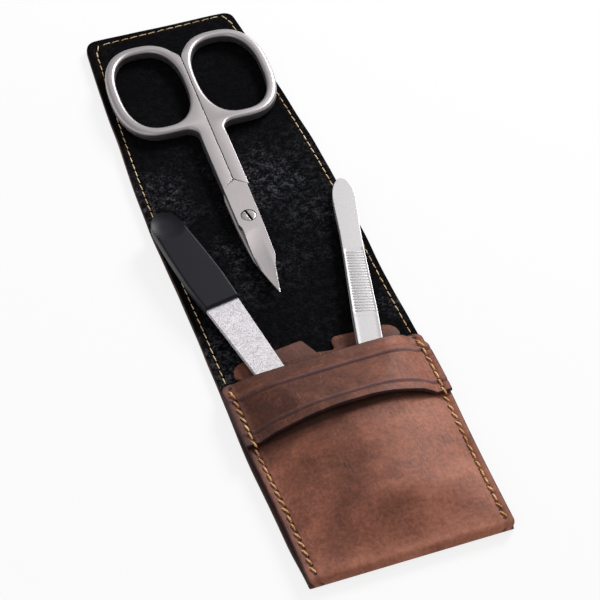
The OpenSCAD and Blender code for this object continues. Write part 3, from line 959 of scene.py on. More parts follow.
# %% [markdown]
# ## The insert behind the tools
#
# A loose flap of the same leather lies behind the tools, cut to two lobes with a notch
# between them. It is a flat outline with thickness, so a filled polygon is enough: what
# matters is that its corners are cut round and its edges are eased.


# %% Flat outlines
def arc(x, y, r, start, end, steps=8):
    turns = np.radians(np.linspace(start, end, steps + 1))
    return [(x + r * math.cos(a), y + r * math.sin(a)) for a in turns]


def plate(name, outline, low, high):
    """A flat outline, counterclockwise, with thickness."""
    n = len(outline)
    points = [(x, y, z) for z in (low, high) for x, y in outline]
    faces = [tuple(range(n))[::-1], tuple(range(n, 2 * n))]
    faces += [(i, (i + 1) % n, n + (i + 1) % n, n + i) for i in range(n)]
    return new_piece(name, points, faces)


# %% The insert
INSERT_HALF, INSERT_T = 20.7, 0.8


def insert_outline():
    """From its lower end up the right side, over both lobes and down the left side."""
    h, waist, r = INSERT_HALF, 17.8, 3.4
    lobe, notch = POCKET_H + 6.5, POCKET_H + 2.2
    return (
        [(-13, 12), (13, 12), (waist, 57), (waist + 0.8, 60.2), (h, 61.5)]
        + arc(h - r, lobe - 1 - r, r, 0, 90)
        + [(7.6, lobe - 0.6)]
        + arc(6, lobe - 2.1, 1.6, 90, 180)
        + [(4.4, notch + 0.4), (3.6, notch), (0, notch + 0.6), (-2, lobe + 0.6), (-2.6, lobe + 1)]
        + arc(-h + r, lobe - 0.8 - r, r, 90, 180)
        + [(-h, 61.5), (-waist - 0.8, 60.2), (-waist, 57)]
    )


insert = plate("insert_leather", insert_outline(), LINING_Z, LINING_Z + INSERT_T)
insert.data.transform(spot(0, 0, 0))
dress(insert, insert_finish)
settle(bevel(insert, 0.15, 2), 50)
# Its edge isn't burnished, so every point is noted as far from it
note(insert, rim=np.full(len(insert.data.vertices), 2.0))
hand_over(insert, ("case",), ("tool_insert",))

# %% [markdown]
# ## Stitches
#
# A row of saddle stitches is one small shape repeated along a path: the job Geometry Nodes
# do best. The path is a line of points along the row, which climbs over the band's ends. The
# tree spaces points along it, puts a stitch on each, turns it along the path and gives it a
# slight lean of its own from a fixed seed. A stitch is an arched strand whose ends go down
# into the awl's holes.


# %% One stitch
STITCH_L, THREAD_W = 1.8, 0.55


def stitch_mesh():
    """Two plies make its section an oval, which turns a little along the stitch."""
    sides, rings, points = 8, 9, []
    for k in range(rings):
        t = -1 + 2 * k / (rings - 1)
        lift = 0.12 - 0.3 * abs(t) ** 3
        for i in range(sides):
            a = 2 * math.pi * i / sides
            ply = 0.82 + 0.18 * abs(math.cos(a - 2.4 * t))
            r = THREAD_W / 2 * ply * (1 - 0.45 * abs(t) ** 4)
            points.append((t * STITCH_L / 2, r * math.cos(a), lift + 0.8 * r * math.sin(a)))
    faces = faces_between(rings, sides)
    faces += [tuple(range(sides))[::-1], tuple(range((rings - 1) * sides, rings * sides))]
    obj = new_piece("one stitch", points, faces)
    obj.data.shade_smooth()
    return obj


# %% The rule that lays stitches along a path
def stitch_tree(finish, pattern):
    sizes = {"Pitch": STITCH_PITCH * MM, "Lean": 0.1, "Thickness": 1.0, "Length": 1.0, "Seed": 1}
    g, size = geometry_tree("stitches along a path", sizes)
    path = g.wire("GeometryNodeMeshToCurve", {"Mesh": size["Geometry"]})
    spaced = g.wire(
        "GeometryNodeResampleCurve", {"Curve": path, "Length": size["Pitch"]}, mode="LENGTH"
    )
    tangent = g.wire("GeometryNodeInputTangent")
    along = g.wire("FunctionNodeAlignRotationToVector", {"Vector": tangent}, axis="X")
    upright = g.wire(
        "FunctionNodeAlignRotationToVector",
        {"Rotation": along, "Vector": (0, 0, 1)},
        axis="Z",
        pivot_axis="X",
    )
    chance = g.node("FunctionNodeRandomValue", {"Seed": size["Seed"]}, data_type="FLOAT")
    lean = (Wire(g, chance.outputs[1]) - 0.5) * size["Lean"] * 2 + size["Lean"]
    turn = g.wire("FunctionNodeAxisAngleToRotation", {"Axis": (0, 0, 1), "Angle": lean})
    leaning = g.wire(
        "FunctionNodeRotateRotation", {0: upright, 1: turn}, rotation_space="LOCAL"
    )
    stitch = g.wire("GeometryNodeObjectInfo", {"Object": pattern}, out="Geometry")
    scale = g.join(size["Length"], size["Thickness"], size["Thickness"])
    sockets = {"Points": spaced, "Instance": stitch, "Rotation": leaning, "Scale": scale}
    rows = g.wire("GeometryNodeInstanceOnPoints", sockets)
    return finish_tree(g, rows, finish)


# %% Lines that the rows follow
def line_mesh(name, lines):
    """Open lines of points, in millimetres."""
    points, edges = [], []
    for line in lines:
        first = len(points)
        points += [(x * MM, (y - BACK_L / 2) * MM, z * MM) for x, y, z in line]
        edges += [(first + i, first + i + 1) for i in range(len(line) - 1)]
    mesh = bpy.data.meshes.new(name)
    mesh.from_pydata(points, edges, [])
    return mesh


def side_line(side, first, last, height):
    """From one stitch to another along a side, by their numbers in the row."""
    ys = ROW_START + STITCH_PITCH * np.linspace(first, last, (last - first) * 6 + 1)
    return [(side * (edge_x(y) - STITCH_IN), y, height(y)) for y in ys]


def round_corner(side, last):
    """One more stitch beyond a side's last one, on its way round the flap's corner."""
    r, y_last = 2.2, ROW_START + STITCH_PITCH * last
    x, y = float(edge_x(CASE_L)) - STITCH_IN - r, CASE_L - STITCH_IN - r
    turn = math.degrees((STITCH_PITCH - (y - y_last)) / r)
    return [(side * u, v, LINING_Z) for u, v in arc(x, y, r, 0, turn)]


def over_band(y):
    """The height of the pocket's row, which climbs over the band's ends."""
    top = BAND_Y + BAND_H
    on_band = ease(y, BAND_Y - 0.5, BAND_Y + 0.3) * (1 - ease(y, top - 0.3, top + 0.5))
    return FLANGE_Z - 0.05 + BAND_T * on_band


def on_lining(y):
    return LINING_Z


def side_lines(start, end, height):
    """Both sides' lines between two lengths along the case, and their last stitch's number."""
    first = math.ceil((start - ROW_START) / STITCH_PITCH)
    last = math.floor((end - ROW_START) / STITCH_PITCH)
    return [side_line(side, first, last, height) for side in (-1, 1)], last


# %% The pocket's rows and the rows round the border
def rows_of_stitches(name, lines, tree, **sizes):
    # A hair under the pitch, so that rounding doesn't lose a row's last stitch
    obj = grow(name, tree, line_mesh(name, lines), Pitch=STITCH_PITCH * MM * 0.999, **sizes)
    return settle(obj, 80)


pattern = stitch_mesh()
half = STITCH_L / 2
lines, last = side_lines(2, POCKET_H - 0.6, over_band)
pocket_look = {"Thickness": 0.98, "Length": 1.24, "Lean": 0.27}
sewing = stitch_tree(golden_thread, pattern)
sewn = rows_of_stitches("pocket_stitches", lines, sewing, Seed=3, **pocket_look)
hand_over(sewn, ("case",), ("pocket_thread",))

sewing = stitch_tree(cream_thread, pattern)
border_look = {"Thickness": 0.48, "Length": 1.2, "Lean": 0.06}
lines, last = side_lines(POCKET_H + half, MID_SPINE + half, on_lining)
sewn = rows_of_stitches("back_stitches", lines, sewing, Seed=5, **border_look)
held = ("back_thread", "spine_thread")
hand_over(sewn, ("case", "spine"), held, SPINE_FOLD)

lines, last = side_lines(MID_SPINE + half - 0.6, CASE_L - CORNER_R - 1, on_lining)
lines = [line + round_corner(side, last) for side, line in zip((-1, 1), lines)]
reach = int((float(edge_x(CASE_L)) - CORNER_R) / STITCH_PITCH)
xs = STITCH_PITCH * np.arange(-reach, reach + 0.1, 0.25)
lines.append([(x, CASE_L - STITCH_IN, LINING_Z) for x in xs])
sewn = rows_of_stitches("flap_stitches", lines, sewing, Seed=8, **border_look)
held = ("flap_thread", "spine_thread")
hand_over(sewn, ("spine", "flap"), held, FLAP_FOLD)
bpy.data.objects.remove(pattern)

# %% [markdown]
# ## Scissors
#
# Each half is forged in one piece: a finger ring, a shank, and a blade of half the
# thickness. The ring and shank are an outline with a hole in it. Their edges are rounded by
# stepping the outline inwards while it climbs a quarter circle, and the radius may differ
# from point to point: generous round the finger ring, crisp along the shank. The blade is a
# grid, because its upper face is ground. The other half is made in the same way with a
# blade outline of its own, and turned over.


# %% An outline with rounded edges
def inward(loop):
    """Unit normals to the left of the way the loop runs."""
    ahead = np.roll(loop, -1, 0) - loop
    ahead /= np.linalg.norm(ahead, axis=1)[:, None]
    behind = np.roll(ahead, 1, 0)
    left = np.stack([-ahead[:, 1] - behind[:, 1], ahead[:, 0] + behind[:, 0]], 1)
    size = np.linalg.norm(left, axis=1)[:, None]
    return left / size * np.minimum(1.6, 2 / np.maximum(size, 0.2))


def eased_plate(name, loops, low, high, radius, steps=8):
    """Loops run counterclockwise outside and clockwise round holes."""
    turns = np.radians(np.linspace(0, 90, steps + 1))
    points, faces, caps = [], [], ([], [])
    for loop in loops:
        loop = np.array(loop, float)
        n, normals, r = len(loop), inward(loop), radius(loop)
        levels = [(r * (1 - np.cos(a)), low + r * (1 - np.sin(a))) for a in turns[::-1]]
        levels += [(r * (1 - np.cos(a)), high - r * (1 - np.sin(a))) for a in turns]
        base = len(points)
        for d, z in levels:
            flat = loop + normals * d[:, None]
            points += [(x, y, h) for (x, y), h in zip(flat, z)]
        faces += faces_between(len(levels), n, base)
        caps[0].append(range(base, base + n))
        caps[1].append(range(base + (len(levels) - 1) * n, base + len(levels) * n))
    for cap in caps:
        flat = [[Vector((points[i][0], points[i][1], 0)) for i in loop] for loop in cap]
        index = [i for loop in cap for i in loop]
        faces += [tuple(index[i] for i in tri) for tri in tessellate_polygon(flat)]
    return new_piece(name, points, faces)


# %% Sizes of one half, and the lines it is drawn with
SHANK_T, SHANK_W, LEVEL_GAP, SEAM = 3.1, 3.3, 0.05, 0.12
CROTCH_Y, CROTCH_DROP = 13.1, 2.9
RING_X, RING_Y, HOLE_A, HOLE_B, RING_BAND = 10.2, 50.0, 8.6, 13.9, 2.5
HOLE_ROUND, SHANK_ROUND, SEAM_ROUND = 0.85, 0.15, 0.04


def oval(a, b, start, end, steps):
    """Part of a rounded-square oval, from one angle to another."""
    turns = np.radians(np.linspace(start, end, steps))
    x, y = [np.sign(v) * np.abs(v) ** 0.8 for v in (np.cos(turns), np.sin(turns))]
    return list(zip(a * x - RING_X, b * y + RING_Y))


def spaced(points, step):
    """The same line with points no further apart than a step."""
    made = []
    for p, q in zip(points, points[1:]):
        count = max(1, int(math.dist(p, q) / step))
        made += [tuple(np.array(p) + (np.array(q) - p) * k / count) for k in range(count)]
    return made + [points[-1]]


# %% The ring and its shank
def ring_and_shank(name):
    """The ring's outside runs from the seam round to a fillet that leads into the shank."""
    seam = -SEAM
    foot, fillet = RING_Y - HOLE_B - RING_BAND, 3.0
    outer = oval(HOLE_A + RING_BAND, HOLE_B + RING_BAND, 26.4, 266, 90)
    outer = [(min(x, seam), y) for x, y in outer]
    line = [(seam, CROTCH_Y), (seam, outer[0][1])]
    line = spaced(line, 1.0)[:-1] + outer
    line += spaced([(-SHANK_W - fillet - 1.2, foot + 0.02)], 1)
    line += arc(-SHANK_W - fillet, foot - fillet, fillet, 90, 0, 10)
    line += spaced([(-SHANK_W, foot - fillet - 1), (-SHANK_W, CROTCH_Y - CROTCH_DROP)], 1.0)
    hole = oval(HOLE_A, HOLE_B, 360, 0, 97)[:-1]

    def radius(loop):
        """Wide and round inside the finger hole, narrower outside, crisp along the seam."""
        if len(loop) == len(hole):
            return np.full(len(loop), HOLE_ROUND)
        soft = SHANK_ROUND + 0.8 * ease(loop[:, 1], foot - 7, foot + 3)
        seam_side = SEAM_ROUND + 0.9 * ease(-loop[:, 0], 0.3, 3.5)
        tall = ease(loop[:, 1], RING_Y + 9, RING_Y + 14)
        return np.minimum(soft, seam_side + tall)

    return eased_plate(name, [line, hole], -SHANK_T / 2, SHANK_T / 2, radius)


# %% Outlines of the blades, as lines of (y, x) from the step under the shank to the tip
UPPER_EDGE = [(10.2, -3.3), (-2.3, -3.25), (-3.7, -2.75), (-9, -2.85), (-13, -2.8)]
UPPER_EDGE += [(-17.4, -2.35), (-20.8, -1.45), (-25.4, -0.05)]
UPPER_BACK = [(10.2, 2.85), (0, 2.75), (-13.4, 2.53), (-14.4, 2.33)]
UPPER_BACK += [(-17.1, 1.45), (-21.3, 0.75), (-25.4, 0.1)]
LOWER_EDGE = [(10.2, -3.3), (8, -2.7), (-2.3, -2.6), (-9, -2.4), (-16, -1.6), (-22.4, -0.05)]
LOWER_BACK = [(10.2, 3.3), (8, 3.7), (-2, 3.6), (-9.9, 3.2), (-13.3, 2.95)]
LOWER_BACK += [(-16.9, 2.1), (-22.4, 0.1)]

# %% Grid of a blade
CHAMFER = np.array([0, 0.04, 0.1, 0.4])
ROOF_STEPS = np.array([0.0, 0.06, 0.14, 0.3, 0.6])
ROWS_APART, BLADE_COLUMNS = 0.45, 13


def blade_grid(left, right):
    """Points of a blade between two lines, and what its height is worked out from.

    That is the blade's two edges in each row, and how far a point is from the step.
    """
    tip, steps = left[-1][0], len(ROOF_STEPS)
    ys = np.append(np.arange(left[0][0], tip, -ROWS_APART), tip)
    sides = [np.interp(-ys, [-y for y, _ in line], [x for _, x in line]) for line in (left, right)]
    roof_x = np.array([[left[0][1], right[0][1]]])
    ends = np.concatenate([np.repeat(roof_x, steps, 0), np.stack(sides, 1)])
    # Four columns lie close to each edge for the chamfers, and even ones between them
    fit = np.minimum(1, (ends[:, 1] - ends[:, 0]) / 1.4)[:, None]
    first, last = ends[:, :1] + CHAMFER * fit, ends[:, 1:] - CHAMFER[::-1] * fit
    even = np.linspace(0, 1, BLADE_COLUMNS)[None, 1:-1]
    between = first[:, -1:] + (last[:, :1] - first[:, -1:]) * even
    x = np.concatenate([first, between, last], 1)
    # The step has two slopes like a roof, and the first rows run along it
    roof_y = CROTCH_Y - CROTCH_DROP * np.abs(x[:steps]) / SHANK_W
    top_y = roof_y + (CROTCH_Y - CROTCH_DROP - roof_y) * ROOF_STEPS[:, None]
    y = np.concatenate([top_y - 0.001, np.repeat(ys[:, None], x.shape[1], 1)])
    from_roof = np.ones(x.shape)
    from_roof[:steps] = ROOF_STEPS[:, None]
    return x, y, ends, from_roof


# %% Blade of one half
GRIND_FROM, GRIND, HOLLOW, SLANT = 4.4, 0.052, 0.16, 0.09
CHAMFER_D, ROOF_D, THIN_END = 0.07, 0.16, 0.18


def blade(name, left, right):
    """A blade that is level round the screw and ground hollow from there to its tip."""
    x, y, ends, from_roof = blade_grid(left, right)
    ground = GRIND * np.maximum(0, -(y + GRIND_FROM + 0.16 * (x - 0.8) ** 2))
    hollow = HOLLOW * np.sin(np.pi * ease(-y, 4.6, 15)) * ease(-y, GRIND_FROM, 6)
    slant = SLANT * np.maximum(0, 1.2 - x) * ease(-y, 4.5, 16)
    margin = np.minimum(x - ends[:, :1], ends[:, 1:] - x)
    eased = CHAMFER_D * (1 - np.clip(margin / 0.1, 0, 1)) ** 1.5
    roof = ROOF_D * (1 - ease(from_roof, 0, 0.12))
    z = np.maximum(SHANK_T / 2 - ground - hollow - slant - eased - roof, LEVEL_GAP + THIN_END)
    inner_chamfer = 0.28 * np.clip(1 - (ends[:, 1:] - x) / 0.4, 0, 1)
    return closed_sheet(name, x, y, z, np.minimum(LEVEL_GAP / 2 + inner_chamfer, z - 0.05))


# %% Joining, cutting and drilling
def merge(name, *objects):
    """One object from several meshes that overlap."""
    made = bmesh.new()
    for obj in objects:
        made.from_mesh(obj.data)
        bpy.data.objects.remove(obj)
    return from_bmesh(name, made)


def cut(obj, cutter):
    """Takes the cutter's shape out of a mesh, and the cutter away."""
    change = obj.modifiers.new("cut", "BOOLEAN")
    change.operation, change.object, change.solver = "DIFFERENCE", cutter, "EXACT"
    settle(obj)
    bpy.data.objects.remove(cutter)


def bore(obj, radius, low, high):
    """Drills a round hole along Z at the local origin."""
    made = bmesh.new()
    sizes = {"radius1": radius * MM, "radius2": radius * MM, "depth": (high - low) * MM}
    middle = Matrix.Translation((0, 0, (low + high) / 2 * MM))
    bmesh.ops.create_cone(made, cap_ends=True, segments=48, matrix=middle, **sizes)
    cut(obj, from_bmesh("drill", made))


# %% Both halves
SCREW_PLACE = spot(-1.2, 107.8, 3.85)
BORE_R, HEAD_R, SHAFT_R, HEAD_D = 1.98, 1.86, 1.1, 0.8


def half_of_scissors(name, lines, turned_over, body, node):
    """Only the half on top is bored, for the screw's head."""
    level = blade(name + " blade", *lines)
    if not turned_over:
        bore(level, BORE_R, SHANK_T / 2 - HEAD_D, 3)
    obj = merge(name, ring_and_shank(name + " shank"), level)
    if turned_over:
        obj.data.transform(turned(180, "Y"))
    obj.data.transform(SCREW_PLACE @ turned(SCISSORS_TURN))
    dress(obj, scissors_finish)
    settle(obj, 28)
    hand_over(obj, (body,), (node,))


upper_lines, lower_lines = (UPPER_EDGE, UPPER_BACK), (LOWER_EDGE, LOWER_BACK)
for name, lines, turned_over, level in (
    ("left_ring_and_blade", upper_lines, False, "scissors_upper"),
    ("right_ring_and_blade", lower_lines, True, "scissors_lower"),
):
    half_of_scissors(name, lines, turned_over, level, level + "_half")

# %% Screw
SLOT_W, SLOT_D, SLOT_TURN = 0.62, 0.75, 101


def slotted_screw(sides=64):
    """A flat head with an eased rim, and the shaft below."""
    top = SHANK_T / 2 - 0.02
    profile = [(0, -top), (SHAFT_R, -top), (SHAFT_R, 0.75), (HEAD_R, 0.78), (HEAD_R, top - 0.16)]
    profile += [(1.8, top - 0.05), (1.7, top), (1.45, top + 0.02), (0.8, top + 0.03)]
    profile += [(0, top + 0.03)]
    turns = 2 * math.pi * np.arange(sides) / sides
    points = [(r * math.cos(a), r * math.sin(a), z) for r, z in profile[1:-1] for a in turns]
    faces = faces_between(len(profile) - 2, sides)
    ring, last = [(i, (i + 1) % sides) for i in range(sides)], (len(profile) - 3) * sides
    low, high = len(points), len(points) + 1
    points += [(0, 0, profile[0][1]), (0, 0, profile[-1][1])]
    faces += [(low, j, i) for i, j in ring] + [(high, last + i, last + j) for i, j in ring]
    return new_piece("slotted_screw", points, faces)


def box_between(low, high):
    made = bmesh.new()
    bmesh.ops.create_cube(made, size=1)
    size, middle = (np.array(high) - low) * MM, (np.array(high) + low) / 2 * MM
    made.transform(Matrix.Translation(Vector(middle)) @ Matrix.Diagonal((*size, 1)))
    return from_bmesh("cutter", made)


screw = slotted_screw()
cut(screw, box_between((-2.5, -SLOT_W / 2, SHANK_T / 2 - SLOT_D), (2.5, SLOT_W / 2, 3)))
settle(bevel(screw, 0.05, 2, 40), 40)
screw.data.transform(SCREW_PLACE @ turned(SLOT_TURN))
dress(screw, screw_finish)
hand_over(screw, ("scissors_lower",), ("scissors_screw",))

# %% [markdown]
# ## Nail file
#
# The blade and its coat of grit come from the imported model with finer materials. The handle
# is moulded: a flat plate with rounded edges and a dish for a fingertip. Its height is worked
# out for each point of a grid from the point's true distance to the outline, so the edges
# stay evenly round right up to the pointed end.


# %% Distance to an outline
def distance_to(outline, x, y):
    """How far points lie from the nearest segment of a closed outline."""
    ring = np.array(outline, float)
    p = np.stack([x.ravel(), y.ravel()], 1)
    nearest = np.full(len(p), 1e9)
    for a, b in zip(ring, np.roll(ring, -1, 0)):
        d = b - a
        t = np.clip(((p - a) @ d) / max(d @ d, 1e-9), 0, 1)
        nearest = np.minimum(nearest, np.linalg.norm(p - a - t[:, None] * d, axis=1))
    return nearest.reshape(x.shape)


def quarter_round(distance, r):
    """How far a rounded edge has dropped at a distance from it."""
    inside = np.clip(distance, 0, r)
    return r - np.sqrt(np.maximum(0, r * r - (r - inside) ** 2))


def rounded_grid(lengths, half_widths, shares, r):
    """Places over an outline that is alike left and right, and how far its edge drops there.

    Lengths run from the piece's end, and shares are its columns from -1 to 1.
    """
    x = half_widths[:, None] * shares
    y = np.repeat(-lengths[:, None], len(shares), 1)
    side = list(zip(half_widths, -lengths))
    ring = side + [(-a, b) for a, b in side[::-1]]
    return x, y, quarter_round(distance_to(ring, x, y), r)


def smooth_line(line, step):
    """A curve through the points of a half outline, as (length, half width)."""
    s, w = np.array(line, float).T
    at = np.arange(0, s[-1] + step / 2, step)
    tangent = np.gradient(w, s)
    index = np.clip(np.searchsorted(s, at, "right") - 1, 0, len(s) - 2)
    h = s[index + 1] - s[index]
    t = (at - s[index]) / h
    a = (1 + 2 * t) * (1 - t) ** 2 * w[index] + t * (1 - t) ** 2 * h * tangent[index]
    b = t * t * (3 - 2 * t) * w[index + 1] + t * t * (t - 1) * h * tangent[index + 1]
    return at, a + b


# %% The file's handle
FILE_L, FILE_TURN, FILE_TILT = 88.0, 9.8, 1.2
HANDLE_L, HANDLE_W, HANDLE_T = 32.5, 9.5, 3.0
EDGE_ROUND, DISH_Y, DISH_R, DISH_D = 0.45, 4.6, 4.3, 0.85


def file_handle():
    """Both faces are alike, from a point at the end to the full width at the blade."""
    h = HANDLE_W / 2
    half = [
        (0, 0), (0.35, 0.32 * h), (1.3, 0.58 * h), (3.2, 0.76 * h), (8, 0.86 * h),
        (15, 0.94 * h), (HANDLE_L * 0.74, h), (HANDLE_L, h - 0.25),
    ]
    s = np.concatenate([[0, 0.03, 0.1, 0.2, 0.35, 0.6], np.arange(0.9, HANDLE_L + 0.01, 0.35)])
    s[-1] = HANDLE_L
    # The half width is midway between a curve through the points and straight lines
    at, w = smooth_line(half[1:], 0.1)
    w = np.where(s < 0.35, 0.3 * h * np.sqrt(s / 0.35), np.interp(s, at, w))
    w = np.maximum(np.interp(s, *np.array(half).T) * 0.5 + w * 0.5, 0.02)
    shares = np.sin(np.radians(np.linspace(-90, 90, 41)))
    x, y, drop = rounded_grid(s, w, shares, EDGE_ROUND)
    from_middle = np.hypot(x, y + DISH_Y)
    dish = DISH_D * (1 - np.minimum(1, from_middle / DISH_R) ** 3)
    z = HANDLE_T / 2 - np.maximum(drop, dish)
    return closed_sheet("file_grip", x, y, z, -z)


file_z = 3.55 + FILE_L * math.sin(math.radians(FILE_TILT))
grip = file_handle()
grip.data.transform(spot(-22.2, 114.6, file_z) @ turned(FILE_TURN) @ turned(FILE_TILT, "X"))
dress(grip, plastic_finish)
settle(grip, 22)
hand_over(grip, ("file",), ("file_handle",))

# %% [markdown]
# ## Tweezers
#
# Two pressed strips of steel, joined at the round end. Each arm is a grid whose rows follow
# the arm's width, thickness and bow. A shallow panel is sunk into its outer face, and the
# grip ribs stand in that panel. The ribs repeat along a line, so Geometry Nodes place them.

# %% The arms
TWEEZERS_L, ARM_T, RIB_FROM, RIB_TO, RIBS = 86.0, 0.9, 25.0, 45.5, 22
HEAD_HALF, HEAD_L, HEAD_END = 2.85, 7, 8
PANEL_D, SECOND_PANEL_D, ARM_ROUND = 0.06, 0.03, 0.1
ARM_HALF = [
    (0, 0), (6, 2.8), (HEAD_END, HEAD_HALF), (11, 2.8), (18, 2.55), (RIB_FROM, 2.6),
    (RIB_TO, 3.0), (54, 3.0), (62, 2.8), (82, 1.4), (TWEEZERS_L, 1.1),
]
# Columns of an arm, as shares of its half width from the edge inwards
NEAR_EDGE = 1 - np.array([0, 0.015, 0.04, 0.07, 0.12, 0.17, 0.22, 0.3, 0.4, 0.7])


def gap_at(s):
    """The gap between the arms: they bow apart and come closer again towards the tips."""
    return 0.25 + 1.35 * ease(s, 8, 50) - 0.3 * ease(s, 60, TWEEZERS_L)


def arm_thickness(s):
    return ARM_T * (1 - 0.3 * ease(s, 66, 82))


def panel_depth(x, s):
    """The sunk panel for the ribs, and the shallow one beyond it."""
    rim = 1.75 + 0.35 * ease(s, RIB_FROM, RIB_TO)
    wide = 1 - ease((np.abs(x) - rim) / 0.7)
    ribbed = ease(s, RIB_FROM - 1.0, RIB_FROM - 0.7) * (1 - ease(s, RIB_TO + 0.2, RIB_TO + 0.6))
    beyond = ease(s, RIB_TO + 0.9, RIB_TO + 1.3) * (1 - ease(s, 64, 70))
    return PANEL_D * wide * ribbed + SECOND_PANEL_D * wide * beyond


def arm(name, upper_arm):
    """The outer face has the panels and a full edge, and the inner one a slighter edge."""
    steps = np.concatenate([[0, 0.03, 0.1, 0.2], np.arange(0.3, TWEEZERS_L + 0.01, 0.3)])
    steps[-1] = TWEEZERS_L
    w = np.interp(steps, *np.array(ARM_HALF).T)
    head = HEAD_HALF * np.sqrt(1 - (1 - np.minimum(1, steps / HEAD_L)) ** 2)
    w = np.maximum(np.where(steps < HEAD_END, head, w), 0.02)
    shares = np.concatenate([-NEAR_EDGE, [0], NEAR_EDGE[::-1]])
    x, y, drop = rounded_grid(steps, w, shares, ARM_ROUND)
    outer, inner = drop + panel_depth(x, -y), 0.3 * drop
    thick = arm_thickness(-y)
    if upper_arm:
        base = ARM_T + gap_at(-y)
        return closed_sheet(name, x, y, base + thick - outer, base + inner)
    return closed_sheet(name, x, y, thick - inner, outer)


# %% The ribs
RIB_HALF, RIB_HALF_W, RIB_H, RIB_SUNK, WIDENING = 2.08, 0.34, 0.13, 0.04, 0.14


def rib_mesh():
    """A low arch across the arm, a little lower at its two ends."""
    points, faces = [], []
    for x in (-RIB_HALF, -RIB_HALF + 0.15, RIB_HALF - 0.15, RIB_HALF):
        height = RIB_H * (0.76 if abs(x) == RIB_HALF else 1)
        for a in np.radians(np.linspace(0, 180, 6)):
            points.append((x, RIB_HALF_W * math.cos(a), height * math.sin(a) - RIB_SUNK))
    for k in range(3):
        for i in range(5):
            a = k * 6 + i
            faces.append((a, a + 1, a + 7, a + 6))
        faces.append((k * 6, k * 6 + 6, k * 6 + 11, k * 6 + 5))
    faces += [tuple(range(6)), tuple(range(18, 24))]
    return new_piece("one rib", points, faces)


def rib_tree(finish, pattern):
    g, size = geometry_tree("ribs along a line", {"Count": RIBS, "Widening": WIDENING})
    path = g.wire("GeometryNodeMeshToCurve", {"Mesh": size["Geometry"]})
    spaced_out = g.wire("GeometryNodeResampleCurve", {"Curve": path, "Count": size["Count"]})
    rib = g.wire("GeometryNodeObjectInfo", {"Object": pattern}, out="Geometry")
    wider = g.wire("GeometryNodeInputIndex") * size["Widening"] / size["Count"] + 1
    sockets = {"Points": spaced_out, "Instance": rib, "Scale": g.join(wider, 1.0, 1.0)}
    rows = g.wire("GeometryNodeInstanceOnPoints", sockets)
    return finish_tree(g, rows, finish)


# %% Both arms
def tweezers_arm(name, upper_arm, body, rule):
    """An arm with its ribs, which point up from the upper arm and down from the lower one."""
    obj = arm(name, upper_arm)
    s = RIB_FROM + (RIB_TO - RIB_FROM) * (np.arange(RIBS) + 0.5) / RIBS
    z = ARM_T + gap_at(s) + ARM_T - PANEL_D if upper_arm else np.full(RIBS, PANEL_D)
    points = [(0, -a * MM, b * MM) for a, b in zip(s, z)]
    line = bpy.data.meshes.new("rib line")
    line.from_pydata(points, [(i, i + 1) for i in range(RIBS - 1)], [])
    ribs = settle(grow(name + " ribs", rule, line, Count=RIBS), 40)
    if not upper_arm:
        ribs.data.transform(Matrix.Diagonal((1, 1, -1, 1)))
        ribs.data.flip_normals()
    obj = merge(name, obj, ribs)
    obj.data.transform(spot(24.5, 112.2, 3.0) @ turned(TWEEZERS_TURN))
    dress(obj, tweezers_finish)
    settle(obj, 30)
    hand_over(obj, (body,), (body + "_arm",))


rib = rib_mesh()
rib_rule = rib_tree(tweezers_finish, rib)
tweezers_arm("upper_arm_of_tweezers", True, "tweezers_upper", rib_rule)
tweezers_arm("lower_arm_of_tweezers", False, "tweezers_lower", rib_rule)
bpy.data.objects.remove(rib)

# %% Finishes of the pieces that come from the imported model
for node, finish in (
    ("tweezers_weld", tweezers_finish),
    ("file_blade", grit_finish),
    ("file_abrasive", grit_finish),
):
    dress(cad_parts[node], finish)

# %% [markdown]
# ## Camera, table and light
#
# The camera stands where the photographer's did: in front, a little to the left and well
# above, with a long lens. A broad soft lamp from the right gives the shadows under the
# tools, a weak one from the left opens them, and a pale world fills the rest. The table is
# white to the camera and in reflections, but keeps the object's shadow.

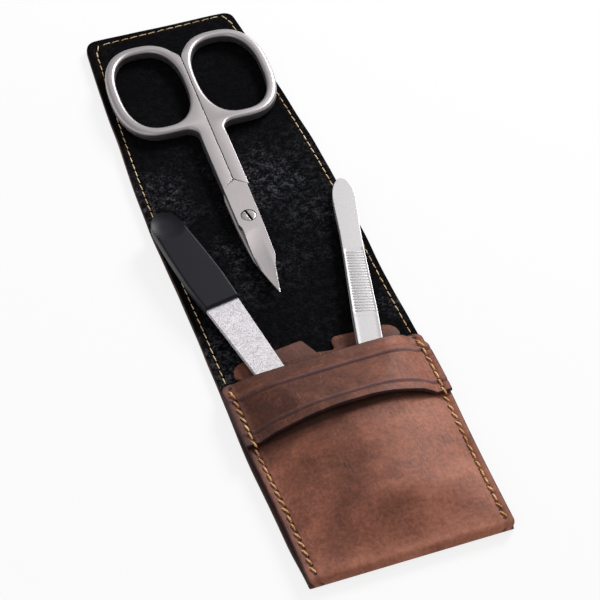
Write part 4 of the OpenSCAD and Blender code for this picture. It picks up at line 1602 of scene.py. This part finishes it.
# %% Camera
turn, lift, distance = math.radians(-19.98), math.radians(48.43), 0.6858
right = Vector((math.cos(turn), math.sin(turn), 0))
back = Vector((math.sin(turn) * math.cos(lift), -math.cos(turn) * math.cos(lift), math.sin(lift)))
up = back.cross(right)
target = Vector((0.00276, 0.02788, 0))
lens = bpy.data.cameras.new("camera")
lens.lens, lens.sensor_width, lens.sensor_fit = 170.8, 36, "HORIZONTAL"
camera = add_object("camera", lens)
axes = Matrix((right, up, back)).transposed().to_4x4()
camera.matrix_world = Matrix.Translation(target + back * distance) @ axes
bpy.context.scene.camera = camera
print("the camera stands", round(distance, 2), "m away, with a lens of", lens.lens, "mm")

# %% Table and world
mesh = bpy.data.meshes.new("table")
mesh.from_pydata([(-3, -3, 0), (3, -3, 0), (3, 3, 0), (-3, 3, 0)], [], [(0, 1, 2, 3)])
table = add_object("table", mesh)
table.location.z = -0.0001
g = Finish("table_white")
rays = g.node("ShaderNodeLightPath")
paper = g.wire("ShaderNodeBsdfDiffuse", {"Color": (0.85, 0.85, 0.85, 1)})
glow = g.wire("ShaderNodeEmission", {"Color": (1, 1, 1, 1), "Strength": 1.0})
seen = Wire(g, rays.outputs["Is Camera Ray"]) + Wire(g, rays.outputs["Is Glossy Ray"])
seen = (seen + Wire(g, rays.outputs["Is Transmission Ray"])).top(1)
shown = g.wire("ShaderNodeMixShader", {0: seen * 0.82, 1: paper, 2: glow})
g.node("ShaderNodeOutputMaterial", {"Surface": shown})
table.data.materials.append(g.material)

world = bpy.data.worlds.new("studio")
world.use_nodes = True
bpy.context.scene.world = world
g = Graph(world.node_tree)
rays = g.node("ShaderNodeLightPath")
fill = g.wire("ShaderNodeBackground", {"Color": (1, 1, 1, 1), "Strength": 0.46})
white = g.wire("ShaderNodeBackground", {"Color": (1, 1, 1, 1), "Strength": 1.0})
seen = Wire(g, rays.outputs["Is Camera Ray"])
shown = g.wire("ShaderNodeMixShader", {0: seen, 1: fill, 2: white})
g.node("ShaderNodeOutputWorld", {"Surface": shown})


# %% Lamps
def lamp(name, place, power, size, aim=(0, 0.03, 0)):
    light = bpy.data.lights.new(name, "AREA")
    light.shape, light.size, light.energy = "DISK", size, power
    obj = add_object(name, light)
    obj.location = place
    obj.rotation_euler = (Vector(aim) - Vector(place)).to_track_quat("-Z", "Y").to_euler()


lamp("soft box", (0.52, 0.44, 0.46), 6.0, 0.3)
lamp("fill", (-0.5, -0.3, 0.6), 0.5, 0.5)

bpy.context.scene.view_settings.view_transform = "Standard"
print("lamps:", len(bpy.data.lights))
